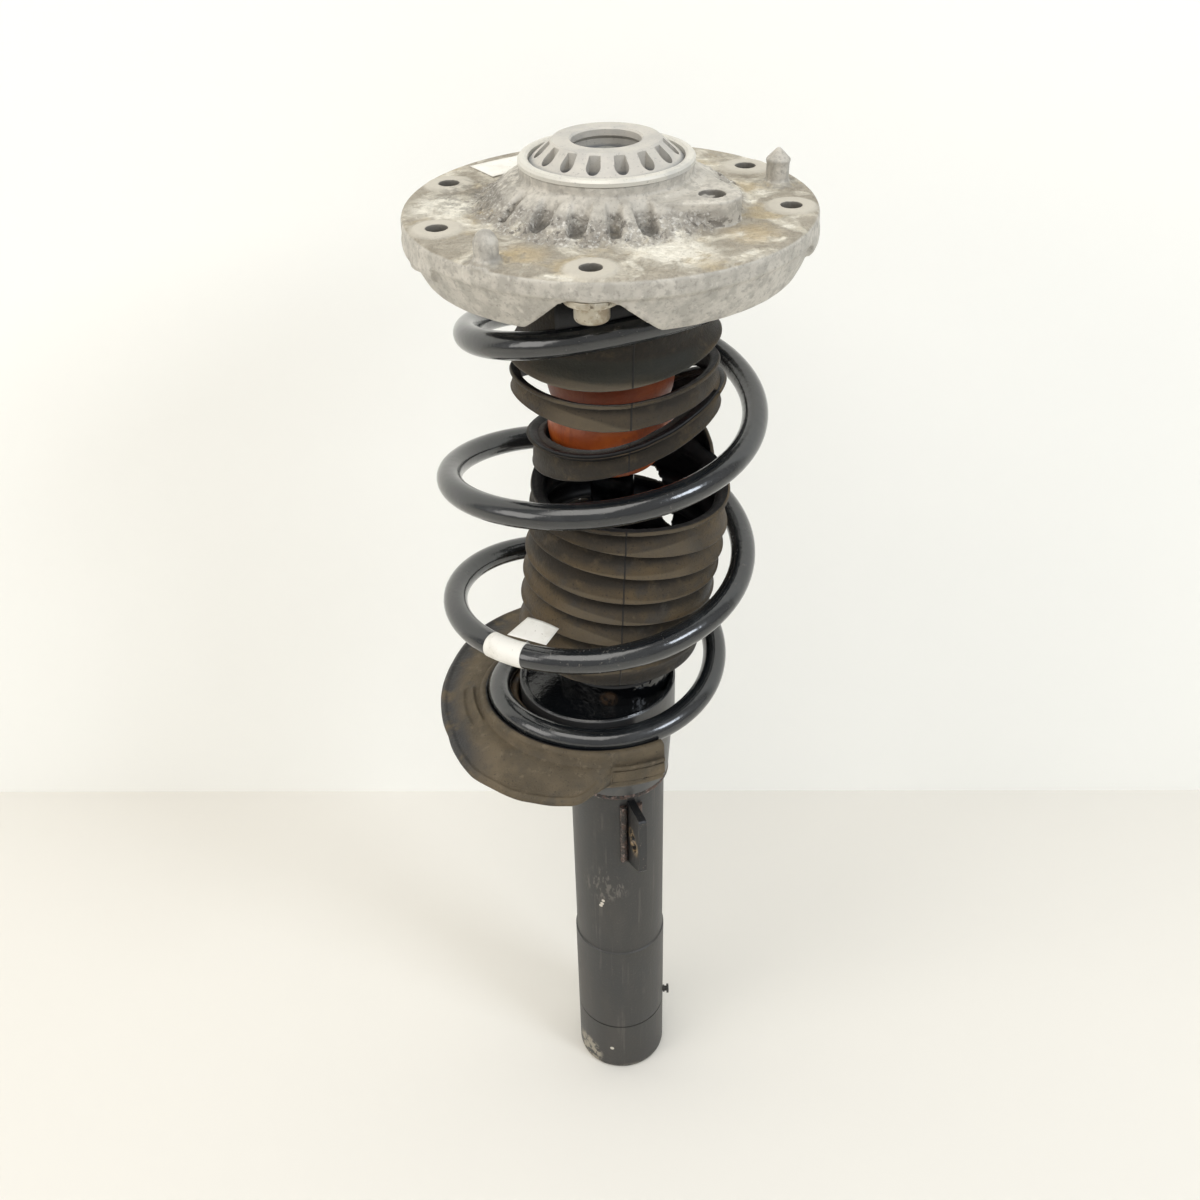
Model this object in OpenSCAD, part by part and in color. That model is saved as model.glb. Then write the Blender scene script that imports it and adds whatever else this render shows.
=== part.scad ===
// Front suspension strut: twin-tube damper, coil spring and cast top mount.
// Millimetres, +Z up along the damper axis, origin at the centre of the tube's bottom face.

/* [Damper tube] */
// Outer diameter of the strut tube
tube_od = 55; // [50:0.5:60]
// Wall of the strut tube
tube_wall = 2.5; // [2:0.1:3.5]
// Height of the strut tube's open end
tube_h = 334; // [325:1:336]
// Outer diameter of the foot that the knuckle clamps
foot_od = 56.6; // [56:0.1:59]
// Height of the clamped foot
foot_h = 117; // [90:1:140]
// Height of the calibrated length that the knuckle clamps
clamp_z = 43.4; // [30:0.2:43.4]
// Width of the scribed groove that ends it
groove_h = 0.8; // [0.5:0.1:1.2]
// Depth of that groove
groove_depth = 0.4; // [0.3:0.1:0.6]
// Rounding of the foot's bottom edge
foot_round = 2.5; // [1:0.5:3]
// Height of the base cap's plug inside the foot
base_plug_h = 3; // [2:0.5:5]
// Height of the headed locating pin
pin_z = 47; // [40:1:60]
// Diameter of the pin's head
pin_head_d = 6; // [4:0.5:9]
// Diameter of the pin's waist
pin_waist_d = 3.4; // [2:0.2:3.6]
// How far the pin stands out of the foot
pin_reach = 4; // [3:0.5:6]

/* [Piston and guide] */
// Diameter of the piston rod
rod_d = 22; // [18:0.5:23]
// Diameter of the rod's threaded top end
rod_end_d = 14; // [12:0.5:16]
// How far the rod's end stands out of its nut
rod_end_out = 3; // [1:0.5:6]
// Inner diameter of the pressure tube
bore_d = 32; // [30:0.5:36]
// Wall of the pressure tube
pressure_wall = 1.5; // [1:0.1:2.5]
// Height of the base valve
valve_h = 14; // [10:1:20]
// Height of the rod guide
guide_h = 20; // [14:1:24]
// Height of the rod seal
seal_h = 6; // [4:0.5:8]
// Thickness of the piston
piston_h = 14; // [10:1:20]
// Height of the nut that holds the piston
piston_nut_h = 8; // [6:0.5:12]
// Height of the rebound stop
rebound_h = 12; // [8:1:16]
// Gap between the rebound stop and the rod guide
rebound_gap = 0.4; // [0.3:0.1:2]
// Radial running clearance of the rod and the piston
run_fit = 0.03; // [0.02:0.01:0.09]
// Clearance between seated pieces
seat_gap = 0.02; // [0.01:0.01:0.05]
// Wall of the cap over the tube's end
cap_wall = 3.2; // [2:0.1:3.2]
// Thickness of the cap's top
cap_t = 3; // [2:0.5:5]

/* [Lower spring seat] */
// Radius of the seat's side wall
seat_r = 43; // [41:0.5:44]
// Sheet thickness of the seat
seat_t = 2.5; // [2:0.1:3.5]
// Radius of the pan that carries the pad
pan_r = 56; // [54:0.5:60]
// How far the tube's end stands above the plateau
plateau_drop = 11; // [9:0.5:14]
// Height of the plateau above the pan
plateau_h = 23; // [18:0.5:25]
// Height of the bead around the plateau
bead_h = 3.5; // [1:0.5:4]
// Depth of the pan's turned-down lip
lip_h = 10; // [6:0.5:14]
// How far the seat reaches down the tube below its pan
neck_drop = 44; // [35:1:50]
// Sideways shift of the seat from the tube
seat_x = -10; // [-12:0.5:-8]
// Forward shift of the seat from the tube
seat_y = -4; // [-6:0.5:-2]
// Angle where the pan begins
pan_from = 82; // [60:1:90]
// Angle where the pan ends
pan_to = 302; // [280:1:310]
// Thickness of the weld bead under the seat
weld_d = 4; // [3:0.5:6]

/* [Lower spring pad] */
// Overlap of the pad inside the wire
pad_in = 10; // [9.5:0.5:10.5]
// Overlap of the pad outside the wire
pad_out = 12; // [10:0.5:15]
// Outer radius of the pad's wing
wing_r = 95; // [90:1:100]
// Sideways shift of the wing's centre
wing_x = -5; // [-8:0.5:-2]
// Height of the wing's outer edge above the pan
wing_edge_h = 9; // [4:0.5:12]
// Height of the wing above the pan where it leaves the pad
wing_root_h = 16; // [12:0.5:18]
// Thickness of the wing
wing_t = 3.5; // [2.5:0.5:5]
// Angle where the wing begins
wing_from = 106; // [100:1:120]
// Angle where the wing ends
wing_to = 290; // [270:1:295]
// Clearance between wire and rubber
wire_gap = 0.3; // [0.2:0.05:0.5]

/* [Link bracket] */
// Thickness of the bracket plate
bracket_t = 4.5; // [3:0.5:6]
// Distance of the bracket's free edge from the axis
bracket_reach = 51; // [48:0.5:60]
// How far the bracket's lower corner is below the seat
bracket_drop = 57; // [52:1:70]
// Height of the bracket at the tube
bracket_h = 50; // [44:1:60]
// Height of the bracket's free edge
bracket_edge_h = 40; // [30:1:44]
// How far the free edge sits above the lower corner
bracket_rise = 15; // [5:1:20]
// Direction of the bracket around the tube
bracket_angle = -75; // [-85:1:-60]
// Diameter of the hole for the stabiliser link
link_hole_d = 12.5; // [10:0.5:14]
// Distance of the link hole from the axis
link_hole_r = 39.5; // [37:0.5:42]

/* [Coil spring] */
// Wire diameter
wire_d = 12.6; // [11:0.1:13]
// Mean radius of the lowest coil
coil_low_r = 56; // [55:0.5:57]
// Mean radius of the middle coils
coil_mid_r = 76; // [73:0.5:77]
// Distance of the top coil's centre line inside the plate's edge
coil_top_inset = 28.8; // [28.4:0.2:30.4]
// Number of turns
coil_turns = 3.98; // [3.9:0.01:4.02]
// Angle of the wire's lower end
coil_from = 100; // [95:1:110]
// Height of the wire's centre above the pan at its lower end
coil_lift = 8.6; // [7:0.1:10]
// Rise per turn of the lowest coil
low_pitch = 24.2; // [22:0.1:26]
// Rise per turn of the middle coils
mid_pitch = 77; // [75:0.1:77.4]
// Rise per turn of the top coil
top_pitch = 1; // [0:0.1:3]
// How much the rise per turn grows from end to end
pitch_growth = 20.4; // [14:0.2:24]
// Sideways place of the lowest coil
coil_x = -10.5; // [-11:0.5:-10]
// Sideways place of the top coil
coil_top_x = -2.7; // [-4:0.1:-2]
// Forward place of the lowest coil
coil_y = -6.9; // [-7.5:0.1:-6]
// Forward place of the top coil
coil_top_y = 0; // [-1:0.5:1]
// Backward bow of the middle coils
coil_bow = 4.8; // [2:0.2:6]

/* [Dust boot] */
// Height of the boot's lower rim above the pan
boot_rise = 50; // [48:1:54]
// Number of folds in the boot's whole part
boot_folds = 7; // [5:1:8]
// Height of one fold
fold_h = 12.6; // [11:0.2:13]
// Outer radius of the folds
boot_r = 50; // [47:0.5:51]
// Depth of a fold
fold_depth = 6; // [4:0.5:8]
// Wall of the boot
boot_wall = 2; // [1.5:0.1:3]
// Sideways sag of the boot's middle
boot_sag = 8; // [0:0.5:9]
// Gap between the boot's top and the upper seat's disc
boot_top_gap = 4; // [2:1:8]

/* [Bump stop] */
// Radius of the bump stop's lobes
bump_r = 31; // [28:0.5:32]
// Radius of its waists
bump_waist_r = 26.5; // [22:0.5:27]
// Height of the bump stop
bump_h = 114; // [100:1:122]
// Gap between the bump stop and the plate
bump_top_gap = 9; // [8:0.5:13]
// Wall of the cup that holds it
bump_cup_t = 2; // [1.5:0.1:2.5]
// Depth of the cup
bump_cup_h = 27; // [20:1:34]

/* [Upper seat and bearing] */
// Distance of the upper seat's rim inside the plate's edge
upper_inset = 28.5; // [28:0.5:31]
// Height from the lower pan to the disc's lower face
spring_space = 267.4; // [266:0.2:268]
// Thickness of the disc
upper_t = 3; // [2.5:0.1:3.2]
// Height of the seat's neck
neck_h = 33; // [27:1:37]
// Wall of the seat's neck
neck_t = 2.5; // [2:0.1:3]
// Radius of the ball track
ball_track_r = 50; // [48:0.5:54]
// Ball diameter
ball_d = 6.4; // [5:0.2:7]
// Number of balls
ball_count = 28; // [20:1:36]
// Clearance between balls, cage and races
ball_gap = 0.05; // [0.02:0.01:0.1]

/* [Mount plate] */
// Height of the plate's upper face above the upper seat's disc
plate_rise = 20; // [19.4:0.1:22]
// Thickness of the plate
plate_t = 6.4; // [5:0.1:7]
// Radius of the plate
plate_r = 91.5; // [90:0.5:93]
// Sideways shift of the plate from the damper axis
plate_x = 1; // [0:0.5:2]
// Forward shift of the plate from the damper axis
plate_y = -3; // [-4:0.5:-2]
// Height of the rim's straight face
rim_h = 8; // [6:0.5:9]
// Height of the rim and the skirt together
skirt_h = 25.5; // [24:0.1:27]
// How far the skirt's lower edge lies inside the plate's edge
skirt_taper = 7.5; // [6.5:0.5:8.5]
// Wall of the skirt
skirt_t = 3.6; // [3:0.1:4]
// Distance of the hole circle from the plate's edge
hole_inset = 12.5; // [11.5:0.5:13.5]
// Diameter of the plate's holes
plate_hole_d = 9.4; // [8.5:0.1:10]
// Diameter of the flat pads around the holes
pad_d = 20.4; // [18:0.2:20.4]
// Height of the flat pads
pad_h = 0.8; // [0.4:0.1:1.5]
// Width of each notch in the skirt at its upper edge
notch_w = 24; // [23:0.2:24.4]
// Width of each notch at its lower end
notch_low_w = 55.6; // [50:0.2:58]
// Depth of the notch's upper edge below the plate's face
notch_depth = 10.9; // [10.4:0.1:12]
// Number of stiffening ribs under the plate
rib_count = 12; // [8:1:16]

/* [Hub and cone] */
// Outer radius of the hub's wall
hub_r = 38.2; // [37.8:0.1:38.4]
// Height of the hub's wall above the plate
hub_h = 17.6; // [15.6:0.1:18.6]
// Wall of the hub
hub_wall = 4; // [3.5:0.1:4.5]
// Radius where the hub's gussets meet the plate
gusset_r = 62; // [58:0.5:65]
// Height of the gussets above the plate at the hub
gusset_h = 12.6; // [9.6:0.1:13.6]
// Number of gusset positions around the hub
gusset_count = 23; // [20:1:24]
// Width of the pockets between gussets
pocket_w = 7; // [5:0.5:8]
// Radius of the opening in the hub's floor
floor_hole_r = 24; // [22:0.5:25]
// Radius of the central hole in the cone
cone_hole_r = 15.3; // [14.5:0.1:16]
// Radius of the cone's flat top
cone_top_r = 23.5; // [22.5:0.1:24.5]
// Height of the cone's flat top above the hub
cone_h = 9.5; // [8:0.1:12]
// Height of the cone's outer edge above the hub
cone_edge_h = 1; // [0.5:0.1:2]
// Number of windows in the cone
window_count = 15; // [12:1:16]
// Width of a window
window_w = 6.2; // [5:0.1:6.5]
// Depth of the windows' floor below the cone's top
window_depth = 9; // [7:0.5:9.5]
// Height of the clamp ring above the hub
ring_h = 3; // [2:0.5:4]
// Height of the bush's inner sleeve
sleeve_h = 14.5; // [12:0.5:15.5]

/* [Ear, studs and inserts] */
// Sideways place of the ear's hole
ear_x = 43.5; // [42:0.5:46]
// Forward place of the ear's hole
ear_y = -28.5; // [-31:0.5:-26]
// Radius of the ear
ear_r = 12.5; // [11:0.5:14]
// Height of the ear above the plate
ear_h = 11.1; // [9:0.1:12.6]
// Diameter of the ear's hole
ear_hole_d = 11.4; // [10:0.2:13]
// Diameter of the locating studs
stud_d = 10.3; // [9:0.1:12]
// Height of the pointed stud
stud_h = 16; // [12:0.5:20]
// Height of the worn, blunt stud
blunt_stud_h = 13.5; // [10:0.5:16]
// Direction of the pointed stud from the plate's centre
pointed_stud_angle = 15.1; // [13:0.1:17]
// Distance of the pointed stud from the plate's edge
pointed_stud_inset = 12.8; // [11:0.1:15]
// Direction of the blunt stud from the plate's centre
blunt_stud_angle = 233.9; // [232:0.1:236]
// Distance of the blunt stud from the plate's edge
blunt_stud_inset = 6.6; // [6:0.1:9]
// Diameter of the inserts' flange
insert_flange_d = 23.6; // [20:0.2:24]
// Diameter of the inserts' body
insert_d = 14.7; // [13:0.1:16]
// Depth of the inserts' flange face below the plate's face
insert_drop = 16.4; // [15.4:0.1:17.4]
// Height of the inserts' body
insert_h = 9.6; // [7:0.1:9.8]
// Bore of the inserts
insert_bore_d = 8.5; // [8:0.1:9]
// Across-flats size of the rod nut
rod_nut_af = 21; // [19:0.5:22]
// Height of the rod nut
rod_nut_h = 11.5; // [10:0.5:12]

/* [Hidden] */
$fn = 96;

// Damper
tube_r = tube_od / 2;
tube_in_r = tube_r - tube_wall;
foot_r = foot_od / 2;
rod_r = rod_d / 2;
rod_end_r = rod_end_d / 2;
bore_r = bore_d / 2;
guide_seat_z = tube_h - seal_h - guide_h;
guide_step = 6;
rebound_top_z = guide_seat_z - rebound_gap;
piston_top_z = rebound_top_z - rebound_h;
piston_low_z = piston_top_z - piston_h;
rod_low_z = piston_low_z - piston_nut_h;
rod_neck_r = rod_r - 4;
base_rim_z = foot_round + 0.6;
base_top_z = base_rim_z + base_plug_h;
cap_r = tube_r + seat_gap + cap_wall;
neck_out = tube_r + 2 * seat_t;
neck_grip_h = 16;
cap_hole_gap = 1.5;
cap_clear = 0.2;

// Heights, each from the piece below it
plateau_z = tube_h - plateau_drop;
pan_z = plateau_z - plateau_h;
neck_z = pan_z - neck_drop;
bracket_z = neck_z - bracket_drop;
coil_z = pan_z + coil_lift;
wing_edge_z = pan_z + wing_edge_h;
wing_root_z = pan_z + wing_root_h;
upper_z = pan_z + spring_space;
neck_low_z = upper_z - neck_h;
boot_z = pan_z + boot_rise;
boot_top_z = upper_z - boot_top_gap;
plate_z = upper_z + plate_rise;
plate_low_z = plate_z - plate_t;
bump_top_z = plate_low_z - bump_top_gap;
bump_z = bump_top_z - bump_h;
bump_cup_z = bump_top_z - bump_cup_h;
hub_z = plate_z + hub_h;
gusset_z = plate_z + gusset_h;
ear_z = plate_z + ear_h;
cone_z = hub_z + cone_h;
cone_edge_z = hub_z + cone_edge_h;
ring_z = hub_z + ring_h;

// Hub stack along the axis
washer_t = 3;
washer_r = 19;
sleeve_r = 12;
sleeve_low_z = plate_low_z - 1;
sleeve_top_z = sleeve_low_z + sleeve_h;
rod_shoulder_z = sleeve_low_z - washer_t;
rod_top_z = sleeve_top_z + rod_nut_h + rod_end_out;
hub_in_r = hub_r - hub_wall;
cone_low_z = hub_z - 0.4;
cone_r = hub_in_r;
ring_r = hub_r + 0.4;

// Radii under the plate, each from the plate's edge
coil_top_r = plate_r - coil_top_inset;
upper_r = plate_r - upper_inset;

// Wire and its pads share the rings of one path, so that the groove follows the wire's facets.
coil_rings = ceil(40 * coil_turns);
widening = 0.185;
narrowing = 0.114;
pitch_start = 0.22;
pitch_stop = 0.04;
wire_r = wire_d / 2;
groove_r = wire_r + wire_gap;
groove_steps = 8;
low_pad_to = pan_to - 4;
top_pad_from = 1300;
top_pad_in = 9.6;
top_pad_out = 5.1;
top_pad_edge = 42;
pad_lip = 0.26 * groove_r;
wing_overlap = 2;
wing_shoulder = 10;
wing_cut_from = [-22, 1 - wing_r];
wing_cut_to = [22, -61];

// Bearing
bearing_low_z = upper_z + upper_t;
ball_z = (bearing_low_z + plate_low_z) / 2;
race_w = 7;
race_split = 1.2;
track_r = ball_d / 2 + ball_gap;

// Plate
plate_centre = [plate_x, plate_y];
hole_ring_r = plate_r - hole_inset;
hole_angles = [35.5, 96.4, 157.3, 201.8, 263.5, 351.8];
notch_angles = [hole_angles[1], hole_angles[4]];
boss_angles = [for (a = hole_angles) if (search([a], notch_angles)[0] == []) a];
rim_low_z = plate_z - rim_h;
shoulder_z = rim_low_z - 6;
waist_z = shoulder_z - 6;
skirt_z = plate_z - skirt_h;
skirt_r = plate_r - skirt_taper;
notch_z = plate_z - notch_depth;
boss_r = 12.4;
boss_span = 28;
boss_low_z = plate_z - 15;
rim_boss_z = boss_low_z + 0.6;
pocket_gap = 0.3;
insert_flange_z = plate_z - insert_drop;
insert_low_z = insert_flange_z - insert_h;
insert_flange_t = 2.2;
boss_face_z = insert_flange_z + seat_gap;
pocket_low_z = insert_flange_z - insert_flange_t - pocket_gap;
insert_spigot_h = 12.5;
insert_spigot_d = insert_d - 2;
ear_angle = atan2(ear_y, ear_x);
ear_free_angle = 34;
pocket_r = gusset_r - 4 - pocket_w / 2;
pocket_root_r = hub_r + 2.4;
pointed_stud = plate_centre
    + (plate_r - pointed_stud_inset) * [cos(pointed_stud_angle), sin(pointed_stud_angle)];
blunt_stud = plate_centre + (plate_r - blunt_stud_inset) * [cos(blunt_stud_angle), sin(blunt_stud_angle)];

// Neck and boot
cup_r = bump_r + 0.4 + bump_cup_t;
neck_in_r = cup_r + 3;
neck_r = neck_in_r + neck_t;
boot_collar_r = neck_r + 0.3;
boot_collar_h = 20;
boot_flare_h = 40;
boot_long_folds = 5;
boot_lap = 0.3;
sag_reach = 90;
tear_reach = 70;
// Each tear: its depth below the boot's top, its width and its tilt.
boot_tears = [[107, 16, -4], [69, 8, -3], [44, 6, 2]];

// --- Helpers ---

function smooth(t) = let (c = min(1, max(0, t))) c * c * (3 - 2 * c);
function lerp(a, b, t) = a + (b - a) * t;

// Area under smooth() from 0 to t.
function ramp(t) = t < 0 ? 0 : t < 1 ? t * t * t - t * t * t * t / 2 : t - 0.5;

// Wire centre line; u runs from 0 at the lower end to 1 at the upper end.
function coil_angle(u) = coil_from + 360 * coil_turns * u;
function coil_radius(u) = coil_low_r + (coil_mid_r - coil_low_r) * smooth((u - 0.1) / widening)
    - (coil_mid_r - coil_top_r) * smooth((u - 0.7) / narrowing);
function coil_rise(u) = coil_turns * (low_pitch * u
    + (mid_pitch - low_pitch) * pitch_start * ramp(u / pitch_start)
    - (mid_pitch - top_pitch) * pitch_stop * ramp((u - 0.864) / pitch_stop)
    - pitch_growth * u * (1 - u) / 2);
function coil_height(u) = coil_z + coil_rise(u);
function coil_centre(u) = [
    lerp(coil_x, coil_top_x, u), lerp(coil_y, coil_top_y, u) + coil_bow * sin(180 * u)];
function coil_point(u) = let (a = coil_angle(u), r = coil_radius(u), c = coil_centre(u))
    [c[0] + r * cos(a), c[1] + r * sin(a), coil_height(u)];

// Number of the path's ring at an angle of the wire.
function ring_at(angle) = (angle - coil_from) / (360 * coil_turns) * coil_rings;

// One ring of points around the wire's centre line, square to it.
function wire_ring(u, r, sides) = let (
        step = 0.0005,
        tangent = coil_point(u + step) - coil_point(u - step),
        a = coil_angle(u),
        across = [cos(a), sin(a), 0],
        lift = cross(tangent, across) / norm(cross(tangent, across)),
        out = cross(lift, tangent) / norm(cross(lift, tangent)))
    [for (i = [0 : sides - 1]) let (t = 360 * i / sides) coil_point(u) + r * (out * cos(t) + lift * sin(t))];

// Skin over rings of equal length, closed by a flat face at each end.
module sweep(rings) {
    n = len(rings[0]);
    m = len(rings);
    points = [for (ring = rings) each ring];
    sides = [for (j = [0 : m - 2]) for (i = [0 : n - 1])
        let (a = j * n + i, b = j * n + (i + 1) % n)
        each [[a, a + n, b], [b, a + n, b + n]]];
    first = [for (i = [0 : n - 1]) i];
    last = [for (i = [n - 1 : -1 : 0]) (m - 1) * n + i];
    polyhedron(points = points, faces = concat(sides, [first, last]));
}

module ring(r_out, r_in, z, h) {
    translate([0, 0, z]) difference() {
        cylinder(r = r_out, h = h);
        translate([0, 0, -1]) cylinder(r = r_in, h = h + 2);
    }
}

module revolve(profile, from = 0, span = 360) {
    rotate([0, 0, from]) rotate_extrude(angle = span) polygon(profile);
}

// Least gap between neighbouring turns of the wire, measured on points of its centre line.
gap_steps = 160;
gap_points = [for (i = [0 : gap_steps]) coil_point(i / gap_steps)];
half_turn = round(gap_steps / coil_turns / 2);
wire_self_gap = min([for (i = [0 : gap_steps - half_turn]) for (j = [i + half_turn : gap_steps])
    norm(gap_points[i] - gap_points[j])]) - wire_d;
echo("coil spring: least gap to itself in mm", wire_self_gap);

// --- Damper body ---

module strut_tube() {
    color("#23262b") revolve([
        [tube_in_r, base_rim_z + seat_gap], [foot_r, base_rim_z + seat_gap], [foot_r, clamp_z],
        [foot_r - groove_depth, clamp_z], [foot_r - groove_depth, clamp_z + groove_h],
        [foot_r, clamp_z + groove_h], [foot_r, foot_h], [tube_r, foot_h + 0.8],
        [tube_r, tube_h], [tube_in_r, tube_h]]);
}

module base_cap() {
    color("#23262b") revolve([
        [0, 0], [foot_r - foot_round, 0], [foot_r - foot_round * 0.6, foot_round * 0.08],
        [foot_r - foot_round * 0.3, foot_round * 0.3], [foot_r - foot_round * 0.08, foot_round * 0.6],
        [foot_r, foot_round], [foot_r, base_rim_z], [tube_in_r - seat_gap, base_rim_z],
        [tube_in_r - seat_gap, base_top_z], [0, base_top_z]]);
}

module locating_pin() {
    color("#1c1e22") translate([0, 0, pin_z]) rotate([0, 90, 0]) {
        translate([0, 0, foot_r + 0.01]) cylinder(d = pin_waist_d, h = pin_reach);
        translate([0, 0, foot_r + 0.25]) cylinder(d = pin_head_d * 0.8, h = 1);
        translate([0, 0, foot_r + pin_reach - 1.4]) cylinder(d = pin_head_d, h = 1.4);
    }
}

// The pressing is round about its own shifted centre, and its neck tapers in to the tube.
module lower_spring_seat() {
    wall_in = seat_r - seat_t;
    color("#26282c") union() {
        translate([seat_x, seat_y, 0]) difference() {
            revolve([
                [0, plateau_z - seat_t], [wall_in, plateau_z - seat_t], [wall_in, pan_z - seat_t],
                [seat_r, pan_z - seat_t], [seat_r, plateau_z + bead_h - 1], [seat_r - 1, plateau_z + bead_h],
                [seat_r - 2.6, plateau_z + bead_h], [seat_r - 3.6, plateau_z + bead_h - 1],
                [seat_r - 4.6, plateau_z], [0, plateau_z]]);
            translate([-seat_x, -seat_y, plateau_z - seat_t - 1])
                cylinder(r = tube_r + seat_gap, h = seat_t + 2);
            translate([-seat_x, -seat_y, plateau_z]) cylinder(r = cap_r + cap_clear, h = bead_h + 1);
        }
        translate([seat_x, seat_y, 0]) revolve([
            [seat_r - 0.5, pan_z - seat_t], [pan_r - seat_t, pan_z - seat_t], [pan_r - seat_t, pan_z - lip_h],
            [pan_r, pan_z - lip_h], [pan_r, pan_z - 1], [pan_r - 1, pan_z], [seat_r - 0.5, pan_z]],
            pan_from, pan_to - pan_from);
        revolve([
            [tube_r + seat_gap, neck_z], [tube_r + seat_t, neck_z], [neck_out, pan_z - seat_t],
            [neck_out, pan_z], [neck_out - seat_t, pan_z], [tube_r + seat_gap, neck_z + neck_grip_h]]);
        seat_web();
    }
}

// Sloping floor of the pressing, between the round neck and the shifted side wall.
module seat_web() {
    difference() {
        translate([seat_x, seat_y, pan_z - seat_t]) cylinder(r = seat_r - seat_t + 0.5, h = seat_t);
        translate([0, 0, pan_z - seat_t - 1]) cylinder(r = neck_out - 1, h = seat_t + 2);
    }
}

module seat_weld() {
    bead_r = weld_d / 2;
    color("#3b3430") difference() {
        rotate_extrude() translate([tube_r + 0.6, neck_z - bead_r]) circle(r = bead_r, $fn = 32);
        translate([0, 0, neck_z - weld_d - 1]) cylinder(r = tube_r + seat_gap, h = weld_d + 2);
    }
}

// Cross-section of the lower pad at u: a block with a groove that the wire lies in.
function low_pad_ring(u) = let (
        p = coil_point(u),
        a = coil_angle(u),
        arc = [for (k = [0 : groove_steps]) let (t = 195 + k * 150 / groove_steps)
            [groove_r * cos(t), p[2] + groove_r * sin(t)]],
        lip = p[2] - pad_lip,
        profile = concat([[-pad_in, pan_z], [-pad_in, lip - 1], [-pad_in + 1, lip]], arc,
            [[pad_out - 3, lip + 2], [pad_out - 1, lip + 1.5], [pad_out, lip - 1], [pad_out, pan_z]]))
    [for (q = profile) [p[0] + q[0] * cos(a), p[1] + q[0] * sin(a), q[1]]];

// Cross-section of the wing at u: a tapering flap from the pad's side to its beaded edge.
function wing_ring(u) = let (
        a = coil_angle(u),
        hub = [wing_x, 0],
        root = coil_centre(u) + (coil_radius(u) + pad_out - wing_overlap) * [cos(a), sin(a)],
        way = (root - hub) / norm(root - hub),
        reach = wing_r - norm(root - hub),
        top = min(wing_root_z, coil_height(u) - pad_lip - 1),
        profile = [[0, top - wing_t], [0, top], [wing_shoulder, top - 0.5], [reach - 3, wing_edge_z + 0.4],
            [reach - 1.5, wing_edge_z + 1], [reach, wing_edge_z], [reach, wing_edge_z - wing_t + 1],
            [reach - 2, wing_edge_z - wing_t], [wing_shoulder, top - wing_t - 1]])
    [for (q = profile) [root[0] + q[0] * way[0], root[1] + q[0] * way[1], q[1]]];

module lower_spring_pad() {
    color("#3a332d") union() {
        sweep([for (i = [0 : floor(ring_at(low_pad_to))]) low_pad_ring(i / coil_rings)]);
        difference() {
            sweep([for (i = [ceil(ring_at(wing_from)) : floor(ring_at(wing_to))]) wing_ring(i / coil_rings)]);
            wing_cut();
        }
    }
}

// The wing is cut back along a line from its front edge to the pad's end.
module wing_cut() {
    line = wing_cut_to - wing_cut_from;
    cut_h = 4 * wing_root_h;
    translate([wing_cut_from[0], wing_cut_from[1], wing_edge_z - cut_h / 2])
        rotate([0, 0, atan2(line[1], line[0])])
        translate([-wing_r / 2, -wing_r, 0]) cube([2 * wing_r, wing_r, cut_h]);
}

module link_bracket() {
    root = tube_r - 1.5;
    edge_z = bracket_z + bracket_rise;
    color("#16181b") rotate([0, 0, bracket_angle]) difference() {
        rotate([90, 0, 0]) translate([0, 0, -bracket_t / 2]) linear_extrude(bracket_t) difference() {
            polygon([[root, bracket_z], [bracket_reach - 1.5, edge_z - 0.8], [bracket_reach, edge_z + 1],
                [bracket_reach, edge_z + bracket_edge_h - 1], [bracket_reach - 1, edge_z + bracket_edge_h],
                [root, bracket_z + bracket_h]]);
            translate([link_hole_r, bracket_z + bracket_h / 2 + bracket_rise / 4]) circle(d = link_hole_d);
        }
        translate([0, 0, bracket_z - 10]) cylinder(r = tube_r + seat_gap, h = bracket_h + 40);
    }
}

module bracket_weld() {
    bead = 4.4;
    color("#4a3a30") rotate([0, 0, bracket_angle]) for (side = [-1, 1]) difference() {
        translate([tube_r + 0.4, side * (bracket_t / 2 + bead / 2 + seat_gap), bracket_z + 3])
            cylinder(d = bead, h = bracket_h - 6, $fn = 24);
        translate([0, 0, bracket_z]) cylinder(r = tube_r + seat_gap, h = bracket_h);
    }
}

module pressure_tube() {
    low_z = base_top_z + seat_gap;
    color("#8d9196") ring(bore_r + pressure_wall, bore_r, low_z, guide_seat_z + guide_step - low_z);
}

module base_valve() {
    color("#77797c") translate([0, 0, base_top_z + seat_gap]) difference() {
        cylinder(r = bore_r - seat_gap, h = valve_h);
        translate([0, 0, -1]) cylinder(r = 3, h = valve_h + 2);
        for (a = [0 : 60 : 300]) rotate([0, 0, a]) translate([9, 0, -1])
            cylinder(r = 1.5, h = valve_h + 2, $fn = 24);
    }
}

module rod_guide() {
    plug_r = bore_r - seat_gap;
    shelf_z = guide_seat_z + guide_step + seat_gap;
    color("#6b6c6e") revolve([
        [rod_r + run_fit, guide_seat_z], [plug_r, guide_seat_z], [plug_r, shelf_z],
        [tube_in_r - seat_gap, shelf_z], [tube_in_r - seat_gap, guide_seat_z + guide_h],
        [rod_r + run_fit, guide_seat_z + guide_h]]);
}

module rod_seal() {
    low_z = tube_h - seal_h + seat_gap;
    color("#141414") ring(tube_in_r - seat_gap, rod_r + run_fit, low_z, seal_h - 2 * seat_gap);
}

module tube_cap() {
    roof_z = tube_h + seat_gap;
    top_z = roof_z + cap_t;
    low_z = plateau_z + seat_gap;
    hole_r = rod_r + cap_hole_gap;
    color("#15171a") revolve([
        [tube_r + seat_gap, low_z], [cap_r, low_z], [cap_r, top_z - 2], [cap_r - 0.6, top_z - 0.6],
        [cap_r - 2, top_z], [hole_r, top_z], [hole_r, roof_z], [tube_r + seat_gap, roof_z]]);
}

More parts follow.
